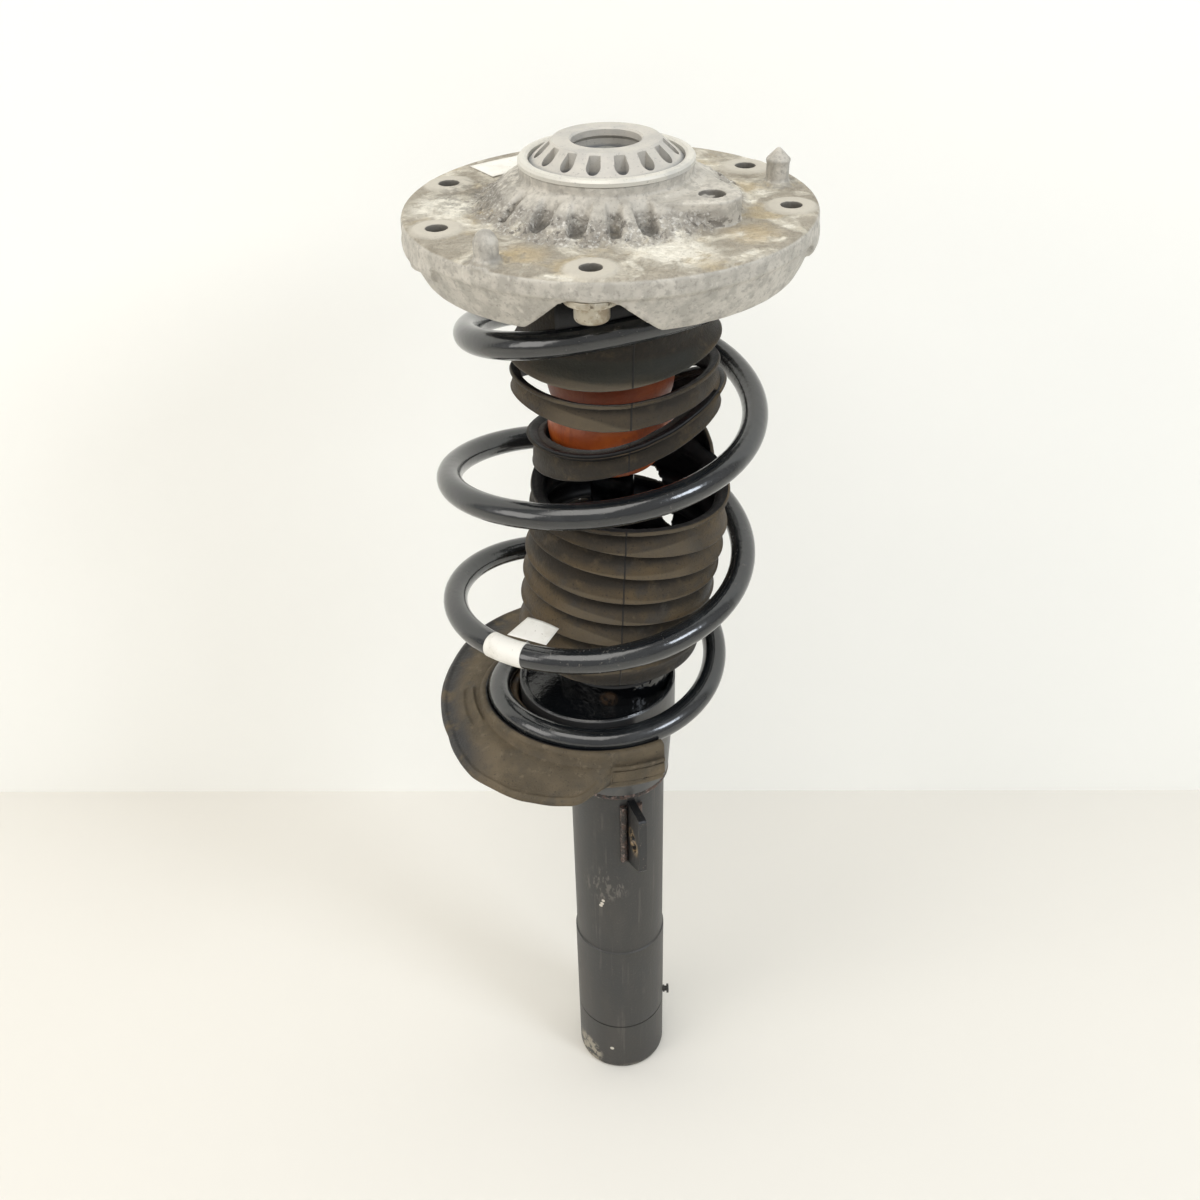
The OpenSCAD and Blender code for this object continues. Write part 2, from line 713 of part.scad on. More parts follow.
module coil_spring() {
    color("#0e1013") sweep([for (i = [0 : coil_rings]) wire_ring(i / coil_rings, wire_r, 12)]);
}

// --- Seat body ---

module upper_spring_seat() {
    color("#17181a") revolve([
        [neck_in_r, neck_low_z], [neck_r, neck_low_z], [neck_r, upper_z], [upper_r - 1, upper_z],
        [upper_r, upper_z + 1], [upper_r, upper_z + upper_t], [neck_in_r, upper_z + upper_t]]);
}

// Cross-section of the upper pad at u: a ramp with the wire's groove in its lower face. It stops short of
// the wire's outer side, so that the inserts can pass when the mount turns.
function top_pad_ring(u) = let (
        p = coil_point(u),
        a = coil_angle(u),
        arc = [for (k = [0 : groove_steps]) let (t = lerp(top_pad_edge, 165, k / groove_steps))
            [groove_r * cos(t), p[2] + groove_r * sin(t)]],
        lip = p[2] + pad_lip,
        profile = concat([[top_pad_out, upper_z], [top_pad_out, arc[0][1] + 0.4]], arc,
            [[1 - top_pad_in, lip], [-top_pad_in, lip + 1], [-top_pad_in, upper_z]]))
    [for (q = profile) [p[0] + q[0] * cos(a), p[1] + q[0] * sin(a), q[1]]];

module upper_spring_pad() {
    color("#141517") sweep([for (i = [ceil(ring_at(top_pad_from)) : coil_rings]) top_pad_ring(i / coil_rings)]);
}

module bearing_lower_race() {
    race_h = ball_z - bearing_low_z - race_split;
    color("#9a9da0") difference() {
        ring(ball_track_r + race_w, ball_track_r - race_w, bearing_low_z, race_h);
        rotate_extrude() translate([ball_track_r, ball_z]) circle(r = track_r);
    }
}

module bearing_upper_race() {
    race_h = plate_low_z - ball_z - race_split;
    color("#9a9da0") difference() {
        ring(ball_track_r + race_w, ball_track_r - race_w, ball_z + race_split, race_h);
        rotate_extrude() translate([ball_track_r, ball_z]) circle(r = track_r);
    }
}

module bearing_cage() {
    cage_t = 1.4;
    color("#2e3034") difference() {
        ring(ball_track_r + race_w - 1, ball_track_r - race_w + 1, ball_z - cage_t / 2, cage_t);
        for (i = [0 : ball_count - 1]) rotate([0, 0, i * 360 / ball_count])
            translate([ball_track_r, 0, ball_z - 2]) cylinder(d = ball_d + 2 * ball_gap, h = 4, $fn = 24);
    }
}

module bearing_balls() {
    color("#c9cbce") for (i = [0 : ball_count - 1]) rotate([0, 0, i * 360 / ball_count])
        translate([ball_track_r, 0, ball_z]) sphere(d = ball_d, $fn = 24);
}

// One fold of the boot: a V that stands out to radius r.
function fold_profile(z, r) = [
    [r - fold_depth, z], [r - 1.2, z + fold_h * 0.36], [r, z + fold_h * 0.5], [r - 1.2, z + fold_h * 0.64],
    [r - fold_depth, z + fold_h], [r - fold_depth - boot_wall, z + fold_h],
    [r - 1.2 - boot_wall, z + fold_h * 0.5], [r - fold_depth - boot_wall, z]];

// A taller, flatter fold of the boot's stretched part.
function long_fold_profile(z, r, h) = [
    [r - fold_depth, z], [r - 0.5, z + h * 0.4], [r - 0.5, z + h * 0.6], [r - fold_depth, z + h],
    [r - fold_depth - boot_wall, z + h], [r - 0.5 - boot_wall, z + h * 0.5], [r - fold_depth - boot_wall, z]];

function sag_at(z) = boot_sag * smooth((z - boot_z) / sag_reach) * smooth((boot_top_z - z) / sag_reach);

module dust_boot() {
    whole_top_z = boot_z + boot_folds * fold_h;
    pitch = (boot_top_z - boot_flare_h - whole_top_z) / boot_long_folds;
    flare_r = boot_r - 1.5;
    collar_out = boot_collar_r + boot_wall;
    color("#3b332b") difference() {
        union() {
            for (i = [0 : boot_folds - 1]) let (z = boot_z + i * fold_h)
                translate([sag_at(z), 0, 0]) revolve(fold_profile(z - 0.02, boot_r));
            for (i = [0 : boot_long_folds - 1]) let (z = whole_top_z + i * pitch)
                translate([sag_at(z), 0, 0])
                    revolve(long_fold_profile(z - boot_lap, boot_r, pitch + 2 * boot_lap));
            revolve([
                [boot_collar_r, boot_top_z - boot_collar_h], [boot_collar_r, boot_top_z],
                [collar_out, boot_top_z], [collar_out, boot_top_z - boot_collar_h + boot_wall],
                [flare_r, boot_top_z - boot_flare_h + 0.2],
                [flare_r - 1.5 * boot_wall, boot_top_z - boot_flare_h - 2 * boot_lap]]);
        }
        for (tear = boot_tears) translate([-20, -20, boot_top_z - tear[0]]) rotate([0, tear[2], 25])
            translate([-tear_reach, -tear_reach, 0]) cube([1.6 * tear_reach, 1.3 * tear_reach, tear[1]]);
    }
}

// --- Top mount body ---

// Tangent outline around two circles, the first at the origin.
module tangent_outline(r1, centre, r2) {
    d = norm(centre);
    a = atan2(centre[1], centre[0]);
    lean = acos((r1 - r2) / d);
    circle(r = r1);
    translate(centre) circle(r = r2);
    polygon([
        r1 * [cos(a + lean), sin(a + lean)], r1 * [cos(a - lean), sin(a - lean)],
        centre + r2 * [cos(a - lean), sin(a - lean)], centre + r2 * [cos(a + lean), sin(a + lean)]]);
}

module at_hole(angle) {
    translate([plate_x, plate_y, 0]) rotate([0, 0, angle]) translate([hole_ring_r, 0, 0]) children();
}

module plate_shell() {
    inner_r = gusset_r / 2;
    translate([plate_x, plate_y, 0]) revolve([
        [inner_r, plate_low_z], [plate_r - 7, plate_low_z], [plate_r - 7.5, shoulder_z + 1],
        [plate_r - 9.5, waist_z + 1], [skirt_r - skirt_t, skirt_z + 2], [skirt_r - skirt_t + 1, skirt_z],
        [skirt_r - 1, skirt_z], [skirt_r, skirt_z + 1], [plate_r - 5.2, waist_z], [plate_r - 3, shoulder_z],
        [plate_r - 1.5, rim_low_z - 1], [plate_r, rim_low_z], [plate_r, plate_z - 2],
        [plate_r - 0.6, plate_z - 0.6], [plate_r - 2, plate_z], [inner_r, plate_z]]);
}

// Thickened rim that shrouds an insert.
module rim_boss(angle) {
    translate([plate_x, plate_y, 0]) revolve([
        [hole_ring_r + 4, plate_low_z + 1], [hole_ring_r + 4, rim_boss_z], [plate_r - 1.5, rim_boss_z],
        [plate_r + 0.5, rim_boss_z + 2.4], [plate_r + 0.5, plate_low_z - 2], [plate_r - 1, plate_low_z + 1]],
        angle - boss_span / 2, boss_span);
}

module skirt_notch(angle) {
    low = skirt_z - 2;
    low_w = lerp(notch_w, notch_low_w, (notch_z - low) / (notch_z - skirt_z));
    translate([plate_x, plate_y, 0]) rotate([0, 0, angle + 90]) translate([0, -50, 0])
        rotate([90, 0, 0]) linear_extrude(60) polygon([
            [-low_w / 2, low], [low_w / 2, low], [notch_w / 2, notch_z], [-notch_w / 2, notch_z]]);
}

module gusset_pocket(angle) {
    rotate([0, 0, angle]) translate([0, 0, plate_z + 0.6]) linear_extrude(20) {
        translate([pocket_r, 0]) circle(d = pocket_w, $fn = 32);
        polygon([[pocket_root_r, -pocket_w * 0.36], [pocket_r, -pocket_w / 2],
            [pocket_r, pocket_w / 2], [pocket_root_r, pocket_w * 0.36]]);
    }
}

module hub() {
    pitch = 360 / gusset_count;
    difference() {
        union() {
            translate([0, 0, plate_low_z]) cylinder(r = hub_r, h = hub_z - plate_low_z);
            translate([0, 0, plate_z - 0.5]) cylinder(r1 = gusset_r, r2 = hub_r + 2.5, h = gusset_h + 0.5);
        }
        for (i = [0 : gusset_count - 1]) if (abs((i * pitch - ear_angle + 540) % 360 - 180) > ear_free_angle)
            gusset_pocket(i * pitch);
    }
    translate([0, 0, plate_z - 0.5]) linear_extrude(ear_h + 0.5)
        tangent_outline(hub_r + 1.2, [ear_x, ear_y], ear_r);
}

module studs() {
    foot_d = stud_d + 5;
    collar_d = stud_d + 0.8;
    worn_d = stud_d * 0.72;
    translate([pointed_stud[0], pointed_stud[1], plate_z - 0.5]) {
        cylinder(d = stud_d, h = stud_h - 5);
        translate([0, 0, stud_h - 5.5]) cylinder(d = collar_d, h = 1);
        translate([0, 0, stud_h - 4.5]) cylinder(d1 = collar_d, d2 = 1.5, h = 5);
        cylinder(d1 = foot_d, d2 = stud_d, h = 2.5);
    }
    translate([blunt_stud[0], blunt_stud[1], plate_z - 0.5]) {
        cylinder(d = stud_d, h = blunt_stud_h - 4);
        translate([0, 0, blunt_stud_h - 4.5]) cylinder(d1 = stud_d, d2 = worn_d, h = 3);
        translate([0, 0, blunt_stud_h - 1.5]) cylinder(d1 = worn_d, d2 = stud_d * 0.4, h = 1.5);
        cylinder(d1 = foot_d, d2 = stud_d, h = 2.5);
    }
}

module under_ribs() {
    rib_t = 3;
    rib_h = 6.5;
    translate([plate_x, plate_y, plate_low_z - rib_h + 0.5]) for (i = [0 : rib_count - 1])
        rotate([0, 0, (i + 0.5) * 360 / rib_count]) translate([gusset_r, -rib_t / 2, 0])
            cube([plate_r - gusset_r - 6, rib_t, rib_h]);
}

module mount_plate() {
    color("#a9a9a6") difference() {
        union() {
            difference() {
                union() {
                    plate_shell();
                    for (a = boss_angles) rim_boss(a);
                }
                for (a = notch_angles) skirt_notch(a);
            }
            for (a = notch_angles) at_hole(a) translate([0, 0, boss_face_z])
                cylinder(r = boss_r, h = plate_z - boss_face_z - 1);
            for (a = boss_angles) at_hole(a) translate([0, 0, boss_low_z])
                cylinder(r = boss_r, h = plate_z - boss_low_z - 1);
            for (a = hole_angles) at_hole(a) translate([0, 0, plate_z - 1])
                cylinder(d = pad_d, h = pad_h + 1);
            translate([0, 0, plate_low_z]) cylinder(r = hub_r + 4, h = plate_t);
            hub();
            studs();
            under_ribs();
        }
        translate([0, 0, plate_z]) cylinder(r = hub_in_r, h = 40);
        translate([0, 0, plate_low_z - 1]) cylinder(r = floor_hole_r, h = plate_t + 2);
        translate([ear_x, ear_y, plate_low_z - 1]) cylinder(d = ear_hole_d, h = 40);
        for (a = hole_angles) at_hole(a) {
            translate([0, 0, insert_flange_z]) cylinder(d = plate_hole_d, h = 2 * insert_drop);
            translate([0, 0, insert_flange_z - 1])
                cylinder(d = insert_spigot_d + 2 * seat_gap, h = insert_spigot_h + 1.5);
        }
        for (a = notch_angles) at_hole(a) {
            translate([0, 0, insert_low_z - 0.2]) cylinder(d = insert_d + 2 * pocket_gap, h = insert_h);
            translate([0, 0, pocket_low_z])
                cylinder(d = insert_flange_d + 2 * pocket_gap, h = boss_face_z - pocket_low_z);
        }
    }
}

module mount_cone() {
    pitch = 360 / window_count;
    lip = 1.2;
    wall_r = cone_r - seat_gap;
    color("#b4b4b1") difference() {
        revolve([
            [cone_hole_r + lip, cone_low_z], [wall_r, cone_low_z], [wall_r, cone_edge_z - 1],
            [cone_r - 1, cone_edge_z], [cone_top_r, cone_z], [cone_hole_r + 0.8, cone_z],
            [cone_hole_r, cone_z - 0.8], [cone_hole_r, cone_z - 3.5], [cone_hole_r + lip, cone_z - 5]]);
        for (i = [0 : window_count - 1]) rotate([0, 0, (i + 0.5) * pitch + 6]) window_cut();
    }
}

module window_cut() {
    from = cone_top_r + 0.8;
    to = cone_r - 2.8 - window_w / 2;
    translate([0, 0, cone_z - window_depth]) linear_extrude(window_depth + 2) {
        translate([to, 0]) circle(d = window_w, $fn = 32);
        polygon([[from, -window_w * 0.38], [to, -window_w / 2], [to, window_w / 2], [from, window_w * 0.38]]);
    }
}

module clamp_ring() {
    color("#c9c9c5") revolve([
        [hub_in_r + seat_gap, hub_z + seat_gap], [ring_r, hub_z + seat_gap], [ring_r, ring_z - 1.4],
        [ring_r - 0.8, ring_z - 0.3], [ring_r - 2, ring_z], [hub_in_r + 1.2, ring_z],
        [hub_in_r + seat_gap, ring_z - 0.8]]);
}

module mount_bush() {
    color("#1b1b1c") revolve([
        [sleeve_r + seat_gap, plate_low_z + 1], [floor_hole_r - 1, plate_low_z + 1],
        [floor_hole_r, plate_z + seat_gap], [hub_in_r - seat_gap, plate_z + seat_gap],
        [hub_in_r - seat_gap, cone_low_z - seat_gap], [floor_hole_r, cone_low_z - seat_gap],
        [sleeve_r + 4, sleeve_top_z - 3], [sleeve_r + seat_gap, sleeve_top_z - 1]]);
}

module inner_sleeve() {
    color("#8b8e92") ring(sleeve_r, rod_end_r + seat_gap, sleeve_low_z, sleeve_top_z - sleeve_low_z);
}

module rod_nut() {
    color("#9b9a90") translate([0, 0, sleeve_top_z]) difference() {
        union() {
            cylinder(d = rod_nut_af / cos(30), h = rod_nut_h, $fn = 6);
            cylinder(r = sleeve_r, h = 1.2);
        }
        translate([0, 0, -1]) cylinder(r = rod_end_r + seat_gap, h = rod_nut_h + 2);
    }
}

module stop_washer() {
    color("#7d8084") ring(washer_r, rod_end_r + seat_gap, rod_shoulder_z, washer_t);
}

module piston_rod() {
    color("#c4c8cc") revolve([
        [0, rod_low_z], [rod_neck_r - 0.6, rod_low_z], [rod_neck_r, rod_low_z + 0.6],
        [rod_neck_r, piston_top_z], [rod_r, piston_top_z], [rod_r, rod_shoulder_z],
        [rod_end_r, rod_shoulder_z], [rod_end_r, rod_top_z - 1], [rod_end_r - 1, rod_top_z], [0, rod_top_z]]);
}

module piston() {
    color("#5f6163") translate([0, 0, piston_low_z]) difference() {
        cylinder(r = bore_r - run_fit, h = piston_h);
        translate([0, 0, -1]) cylinder(r = rod_neck_r + seat_gap, h = piston_h + 2);
        for (a = [0 : 45 : 315]) rotate([0, 0, a]) translate([(bore_r + rod_neck_r) / 2, 0, -1])
            cylinder(r = 1.6, h = piston_h + 2, $fn = 24);
    }
}

module piston_nut() {
    color("#8b8e92") translate([0, 0, rod_low_z]) difference() {
        cylinder(d = 2.8 * rod_neck_r, h = piston_nut_h, $fn = 6);
        translate([0, 0, -1]) cylinder(r = rod_neck_r + seat_gap, h = piston_nut_h + 2);
    }
}

module rebound_stop() {
    color("#2a2a2a") ring(bore_r - 1.5, rod_r + seat_gap, piston_top_z, rebound_h);
}

module bump_stop() {
    lobes = 4;
    foot = 8;
    lobe_h = (bump_h - foot) / lobes;
    in_r = rod_r + 0.4;
    outline = [for (i = [0 : lobes - 1]) let (z = bump_z + foot + i * lobe_h)
        each [[bump_waist_r, z], [bump_r - 1, z + lobe_h * 0.26], [bump_r, z + lobe_h * 0.42],
            [bump_r, z + lobe_h * 0.58], [bump_r - 1, z + lobe_h * 0.74]]];
    color("#c2571f") revolve(concat(
        [[in_r, bump_z], [bump_waist_r - 8, bump_z], [bump_waist_r - 3, bump_z + 3]],
        outline, [[bump_waist_r, bump_top_z], [in_r, bump_top_z]]));
}

module bump_stop_cup() {
    cup_in_r = cup_r - bump_cup_t;
    flange_r = cup_r + 2.2;
    hole_r = floor_hole_r + 2;
    floor_z = bump_top_z + seat_gap;
    color("#2f3133") revolve([
        [hole_r, floor_z], [cup_in_r, floor_z], [cup_in_r, bump_cup_z], [cup_r, bump_cup_z],
        [cup_r, plate_low_z - bump_cup_t], [flange_r, plate_low_z - bump_cup_t], [flange_r, plate_low_z],
        [cup_in_r, plate_low_z], [cup_in_r, floor_z + bump_cup_t], [hole_r, floor_z + bump_cup_t]]);
}

module insert_bushes() {
    lead = 1.2;
    color("#b9b6a6") difference() {
        union() {
            for (a = notch_angles) at_hole(a) {
                translate([0, 0, insert_low_z]) cylinder(d1 = insert_d - 2, d2 = insert_d, h = lead);
                translate([0, 0, insert_low_z + lead]) cylinder(d = insert_d, h = insert_h - lead);
                translate([0, 0, insert_flange_z - insert_flange_t])
                    cylinder(d = insert_flange_d, h = insert_flange_t);
                translate([0, 0, insert_flange_z - 0.5])
                    cylinder(d = insert_spigot_d, h = insert_spigot_h + 0.5);
            }
            for (a = boss_angles) at_hole(a) translate([0, 0, boss_low_z])
                cylinder(d = insert_spigot_d, h = insert_flange_z + insert_spigot_h - boss_low_z);
        }
        for (a = hole_angles) at_hole(a) translate([0, 0, insert_low_z - 1])
            cylinder(d = insert_bore_d, h = insert_h + insert_drop + 1);
    }
}

strut_tube();
base_cap();
locating_pin();
lower_spring_seat();
seat_weld();
lower_spring_pad();
link_bracket();
bracket_weld();
pressure_tube();
base_valve();
rod_guide();
rod_seal();
tube_cap();
coil_spring();
upper_spring_seat();
upper_spring_pad();
bearing_lower_race();
bearing_cage();
bearing_balls();
dust_boot();
mount_plate();
mount_cone();
clamp_ring();
mount_bush();
inner_sleeve();
rod_nut();
stop_washer();
piston_rod();
piston();
piston_nut();
rebound_stop();
bump_stop();
bump_stop_cup();
bearing_upper_race();
insert_bushes();
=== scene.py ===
from math import cos, pi, radians, sin, sqrt

import bmesh
import bpy
import numpy as np
from mathutils import Matrix, Vector, noise


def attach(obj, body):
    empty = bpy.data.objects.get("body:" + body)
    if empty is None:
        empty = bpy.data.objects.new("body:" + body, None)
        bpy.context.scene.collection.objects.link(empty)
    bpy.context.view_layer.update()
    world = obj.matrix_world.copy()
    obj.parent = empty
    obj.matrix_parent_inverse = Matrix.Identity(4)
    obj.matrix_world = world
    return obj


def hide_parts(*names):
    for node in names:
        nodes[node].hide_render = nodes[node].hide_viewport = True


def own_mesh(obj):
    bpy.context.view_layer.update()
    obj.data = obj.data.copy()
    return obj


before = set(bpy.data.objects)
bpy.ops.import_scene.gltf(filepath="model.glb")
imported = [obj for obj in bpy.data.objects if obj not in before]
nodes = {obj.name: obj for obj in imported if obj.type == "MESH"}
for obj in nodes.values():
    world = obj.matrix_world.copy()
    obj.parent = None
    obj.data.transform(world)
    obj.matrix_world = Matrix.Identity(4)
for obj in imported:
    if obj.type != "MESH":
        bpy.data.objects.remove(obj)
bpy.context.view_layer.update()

# All sizes are in millimetres unless a comment says otherwise.
MM = 0.001

# ---------------------------------------------------------------- sizes that several pieces share

WIRE_R = 6.3
GROOVE_R = 6.6

PLATE_TOP = 587.4
PLATE_MIDDLE = (1.0, -3.0)
PLATE_R = 91.5
HOLE_CIRCLE_R = 79
HOLE_ANGLES = (35.5, 96.4, 157.3, 201.8, 263.5, 351.8)
# The holes whose inserts stand over a notch of the skirt.
OVER_NOTCHES = (1, 4)
EAR_HOLE = (43.5, -28.5)
STUDS = ((76.9, 17.5), (-49.0, -71.6))
# Hollows between the gussets round the hub, as direction and half width.
POCKETS = ((40, 3.4), (58, 3.6), (76, 3.6), (94, 3.6), (112, 3.6), (130, 3.4), (214, 1.9),
           (235.5, 4.3), (254.5, 4.2), (272.8, 2.9), (288.5, 4.2))


def toward(degrees):
    """Level unit vector in a direction."""
    a = radians(degrees)
    return Vector((cos(a), sin(a), 0))


def hole_place(angle):
    """Centre of a flange hole."""
    a = radians(angle)
    return PLATE_MIDDLE[0] + HOLE_CIRCLE_R * cos(a), PLATE_MIDDLE[1] + HOLE_CIRCLE_R * sin(a)


# ---------------------------------------------------------------- finishes

UP, BACK = (0, 0, 1), (0, 1, 0)


def linear(hex_colour):
    """An sRGB hex value as a linear colour."""
    parts = [int(hex_colour[i:i + 2], 16) / 255 for i in (1, 3, 5)]
    return tuple(c / 12.92 if c <= 0.04045 else ((c + 0.055) / 1.055) ** 2.4 for c in parts) + (1.0,)


def add_node(tree, kind, sockets=None, **settings):
    """Adds a shader node; a socket value may be a number, a colour or another node's output."""
    made = tree.nodes.new("ShaderNode" + kind)
    for name, value in settings.items():
        setattr(made, name, value)
    for name, value in (sockets or {}).items():
        if isinstance(value, bpy.types.NodeSocket):
            tree.links.new(value, made.inputs[name])
        else:
            made.inputs[name].default_value = value
    return made


class Finish:
    """A surface finish that is built up in layers."""

    def __init__(self, name, colour, roughness, metallic=0.0, **fixed):
        self.material = bpy.data.materials.new(name)
        self.material.use_nodes = True
        self.tree = self.material.node_tree
        self.shader = self.tree.nodes["Principled BSDF"]
        self.shader.inputs["Metallic"].default_value = metallic
        for socket, value in fixed.items():
            self.shader.inputs[socket.replace("_", " ")].default_value = value
        metres = {0: add_node(self.tree, "TexCoord").outputs["Object"], "Scale": 1 / MM}
        self.place = add_node(self.tree, "VectorMath", metres, operation="SCALE").outputs[0]
        self.colour = linear(colour)
        self.roughness = roughness
        self.height = None
        self.seed = 0.0

    def spots(self, size, low, high, detail=3.0, stretch=(1, 1, 1), distort=0.0):
        """Mask of soft-edged patches of about a size; low and high are where they start and are full."""
        self.seed += 37.0
        away = (self.seed, self.seed / 3, self.seed / 7)
        shifted = add_node(self.tree, "VectorMath", {0: self.place, 1: away}).outputs[0]
        spread = add_node(self.tree, "VectorMath", {0: shifted, 1: stretch}, operation="MULTIPLY")
        grain = add_node(self.tree, "TexNoise", {
            "Vector": spread.outputs[0], "Scale": 1.0 / size, "Detail": detail, "Roughness": 0.6,
            "Distortion": distort})
        return self.between(grain.outputs[0], low, high)

    def between(self, value, low, high):
        """0 to 1 as value goes from low to high, with soft ends."""
        ends = {0: value, 1: low, 2: high}
        return add_node(self.tree, "MapRange", ends, interpolation_type="SMOOTHSTEP").outputs[0]

    def near(self, point, radius, soft, place=None):
        """1 within radius of a point, fading to 0 over soft."""
        gap = add_node(self.tree, "VectorMath", {0: place or self.place, 1: point}, operation="DISTANCE")
        return self.between(gap.outputs["Value"], radius + soft, radius)

    def round_axis(self, x, y, radius, soft):
        """1 within radius of an upright axis, fading to 0 over soft."""
        flat = add_node(self.tree, "VectorMath", {0: self.place, 1: (1, 1, 0)}, operation="MULTIPLY")
        return self.near((x, y, 0), radius, soft, flat.outputs[0])

    def along(self, direction, low, high):
        """0 to 1 along a direction, from low to high."""
        far = add_node(self.tree, "VectorMath", {0: self.place, 1: direction}, operation="DOT_PRODUCT")
        return self.between(far.outputs["Value"], low, high)

    def facing(self, direction, low, high):
        """0 to 1 as the surface turns to face a direction of the object."""
        normal = add_node(self.tree, "NewGeometry").outputs["Normal"]
        turned = add_node(self.tree, "VectorMath", {0: normal, 1: direction}, operation="DOT_PRODUCT")
        return self.between(turned.outputs["Value"], low, high)

    def where(self, made, *others):
        """All masks at once."""
        for other in others:
            made = add_node(self.tree, "Math", {0: made, 1: other}, operation="MULTIPLY").outputs[0]
        return made

    def either(self, made, *others):
        """The strongest of the masks."""
        for other in others:
            made = add_node(self.tree, "Math", {0: made, 1: other}, operation="MAXIMUM").outputs[0]
        return made

    def without(self, mask):
        """The rest of the surface."""
        return add_node(self.tree, "Math", {0: 1.0, 1: mask}, operation="SUBTRACT").outputs[0]

    def paint(self, mask, colour, roughness, strength=1.0):
        """Lays a colour and a roughness over the surface where the mask is."""
        share = mask
        if strength != 1.0:
            share = add_node(self.tree, "Math", {0: mask, 1: strength}, operation="MULTIPLY").outputs[0]
        both = {0: share, 6: self.colour, 7: linear(colour)}
        self.colour = add_node(self.tree, "Mix", both, data_type="RGBA").outputs[2]
        self.roughness = add_node(self.tree, "Mix", {0: share, 2: self.roughness, 3: roughness}).outputs[0]

    def mottle(self, *layers, within=None):
        """Paints layers of patches, all over or within a mask.

        A layer says the patches' size, start, full value and detail, then colour, roughness, strength.
        """
        for size, low, high, detail, colour, roughness, strength in layers:
            patches = self.spots(size, low, high, detail)
            self.paint(self.where(within, patches) if within else patches, colour, roughness, strength)

    def relief(self, mask, height):
        """Raises the surface by height where the mask is; a negative height makes a dent."""
        lift = add_node(self.tree, "Math", {0: mask, 1: height * MM}, operation="MULTIPLY").outputs[0]
        if self.height:
            lift = add_node(self.tree, "Math", {0: self.height, 1: lift}).outputs[0]
        self.height = lift

    def grain(self, size, height, detail=3):
        """Relief of lumps of about a size, all over."""
        self.relief(self.spots(size, 0.3, 0.8, detail), height)

    def done(self):
        """Links up the layers and gives the material."""
        for name, value in (("Base Color", self.colour), ("Roughness", self.roughness)):
            if isinstance(value, bpy.types.NodeSocket):
                self.tree.links.new(value, self.shader.inputs[name])
            else:
                self.shader.inputs[name].default_value = value
        if self.height:
            bump = add_node(self.tree, "Bump", {"Height": self.height, "Distance": 1.0})
            self.tree.links.new(bump.outputs[0], self.shader.inputs["Normal"])
        return self.material


def tube_paint():
    """Satin black electrocoat on drawn steel tube, dusty, with thin scratches and chips down to primer."""
    f = Finish("satin_black_ecoat_tube", "#2f3031", 0.42)
    f.paint(f.spots(60, 0.35, 0.7, stretch=(1, 1, 0.4)), "#3a3835", 0.5)
    f.paint(f.spots(22, 0.45, 0.75, detail=5, stretch=(1, 1, 0.25)), "#474440", 0.55, 0.6)
    f.mottle((0.9, 0.68, 0.74, 1, "#565049", 0.6, 0.8))
    streaks = f.spots(2.2, 0.56, 0.7, detail=2, stretch=(1, 1, 0.03))
    f.paint(f.where(streaks, f.spots(30, 0.45, 0.6)), "#615d57", 0.5, 0.35)
    scuffs = f.where(f.near((-9, -25, 178), 9, 9), f.spots(2.4, 0.5, 0.62, detail=5, stretch=(1, 1, 0.4)))
    f.paint(scuffs, "#6d6962", 0.6, 0.7)
    chips = f.either(f.near((-11, -25.2, 161.4), 0.9, 0.5), f.near((-10.3, -25.6, 164.2), 0.8, 0.5),
                     f.near((-11.8, -25, 159.4), 1.0, 0.4))
    f.paint(chips, "#cfc8bb", 0.6)
    worn = f.where(f.near((-23, -17, 9), 9, 5), f.spots(4, 0.42, 0.55, detail=4))
    f.paint(worn, "#a39c8d", 0.65, 0.85)
    f.paint(f.where(f.along(UP, 5, 1), f.spots(5, 0.4, 0.6)), "#8d877a", 0.6, 0.6)
    f.paint(f.near((-7, -27.4, 20.4), 1.1, 0.5), "#c9c4b8", 0.6)
    step = f.where(f.along(UP, 43.1, 43.4), f.along(UP, 44.5, 44.2))
    f.paint(step, "#1c1c1c", 0.5, 0.7)
    f.grain(1.6, 0.05)
    f.relief(scuffs, -0.05)
    return f.done()


def seat_paint():
    """Satin black electrocoat on pressed steel, with dust in the corners."""
    f = Finish("satin_black_ecoat_pressing", "#2b2d30", 0.33, Specular_IOR_Level=0.6)
    f.mottle((18, 0.45, 0.7, 4, "#45423e", 0.5, 0.7), (0.9, 0.66, 0.74, 1, "#5d564c", 0.6, 0.7))
    f.grain(2.5, 0.05)
    return f.done()


def plateau_paint():
    """Gloss black enamel on the seat's upper side, wet-looking, with brown road dust lying on the rim and a
    painted highlight round the plateau's edge.
    """
    f = Finish("gloss_black_enamel_seat", "#101214", 0.12, Specular_IOR_Level=0.6)
    # Painted highlight: lighter grey outside the plateau's edge, along its rim.
    f.paint(f.without(f.round_axis(-10, -4, 42.2, 0.6)), "#3a3b3c", 0.35)
    f.paint(f.along(UP, 300, 297), "#4b4c4c", 0.4, 0.8)
    f.paint(f.where(f.along(UP, 298, 290), f.spots(14, 0.4, 0.7)), "#5d5a55", 0.5, 0.7)
    f.grain(3, 0.06)
    return f.done()


def cap_paint():
    """Gloss black moulded cap over the tube's end, with a tan dust smear in front."""
    f = Finish("gloss_black_moulded_cap", "#0b0c0e", 0.08, Specular_IOR_Level=0.6)
    smear = f.where(f.near((-4, -29.5, 328), 3, 3), f.spots(7, 0.38, 0.55, detail=2, stretch=(1, 1, 0.5)))
    f.paint(smear, "#54402e", 0.3, 0.6)
    f.grain(5, 0.25, 1)
    return f.done()


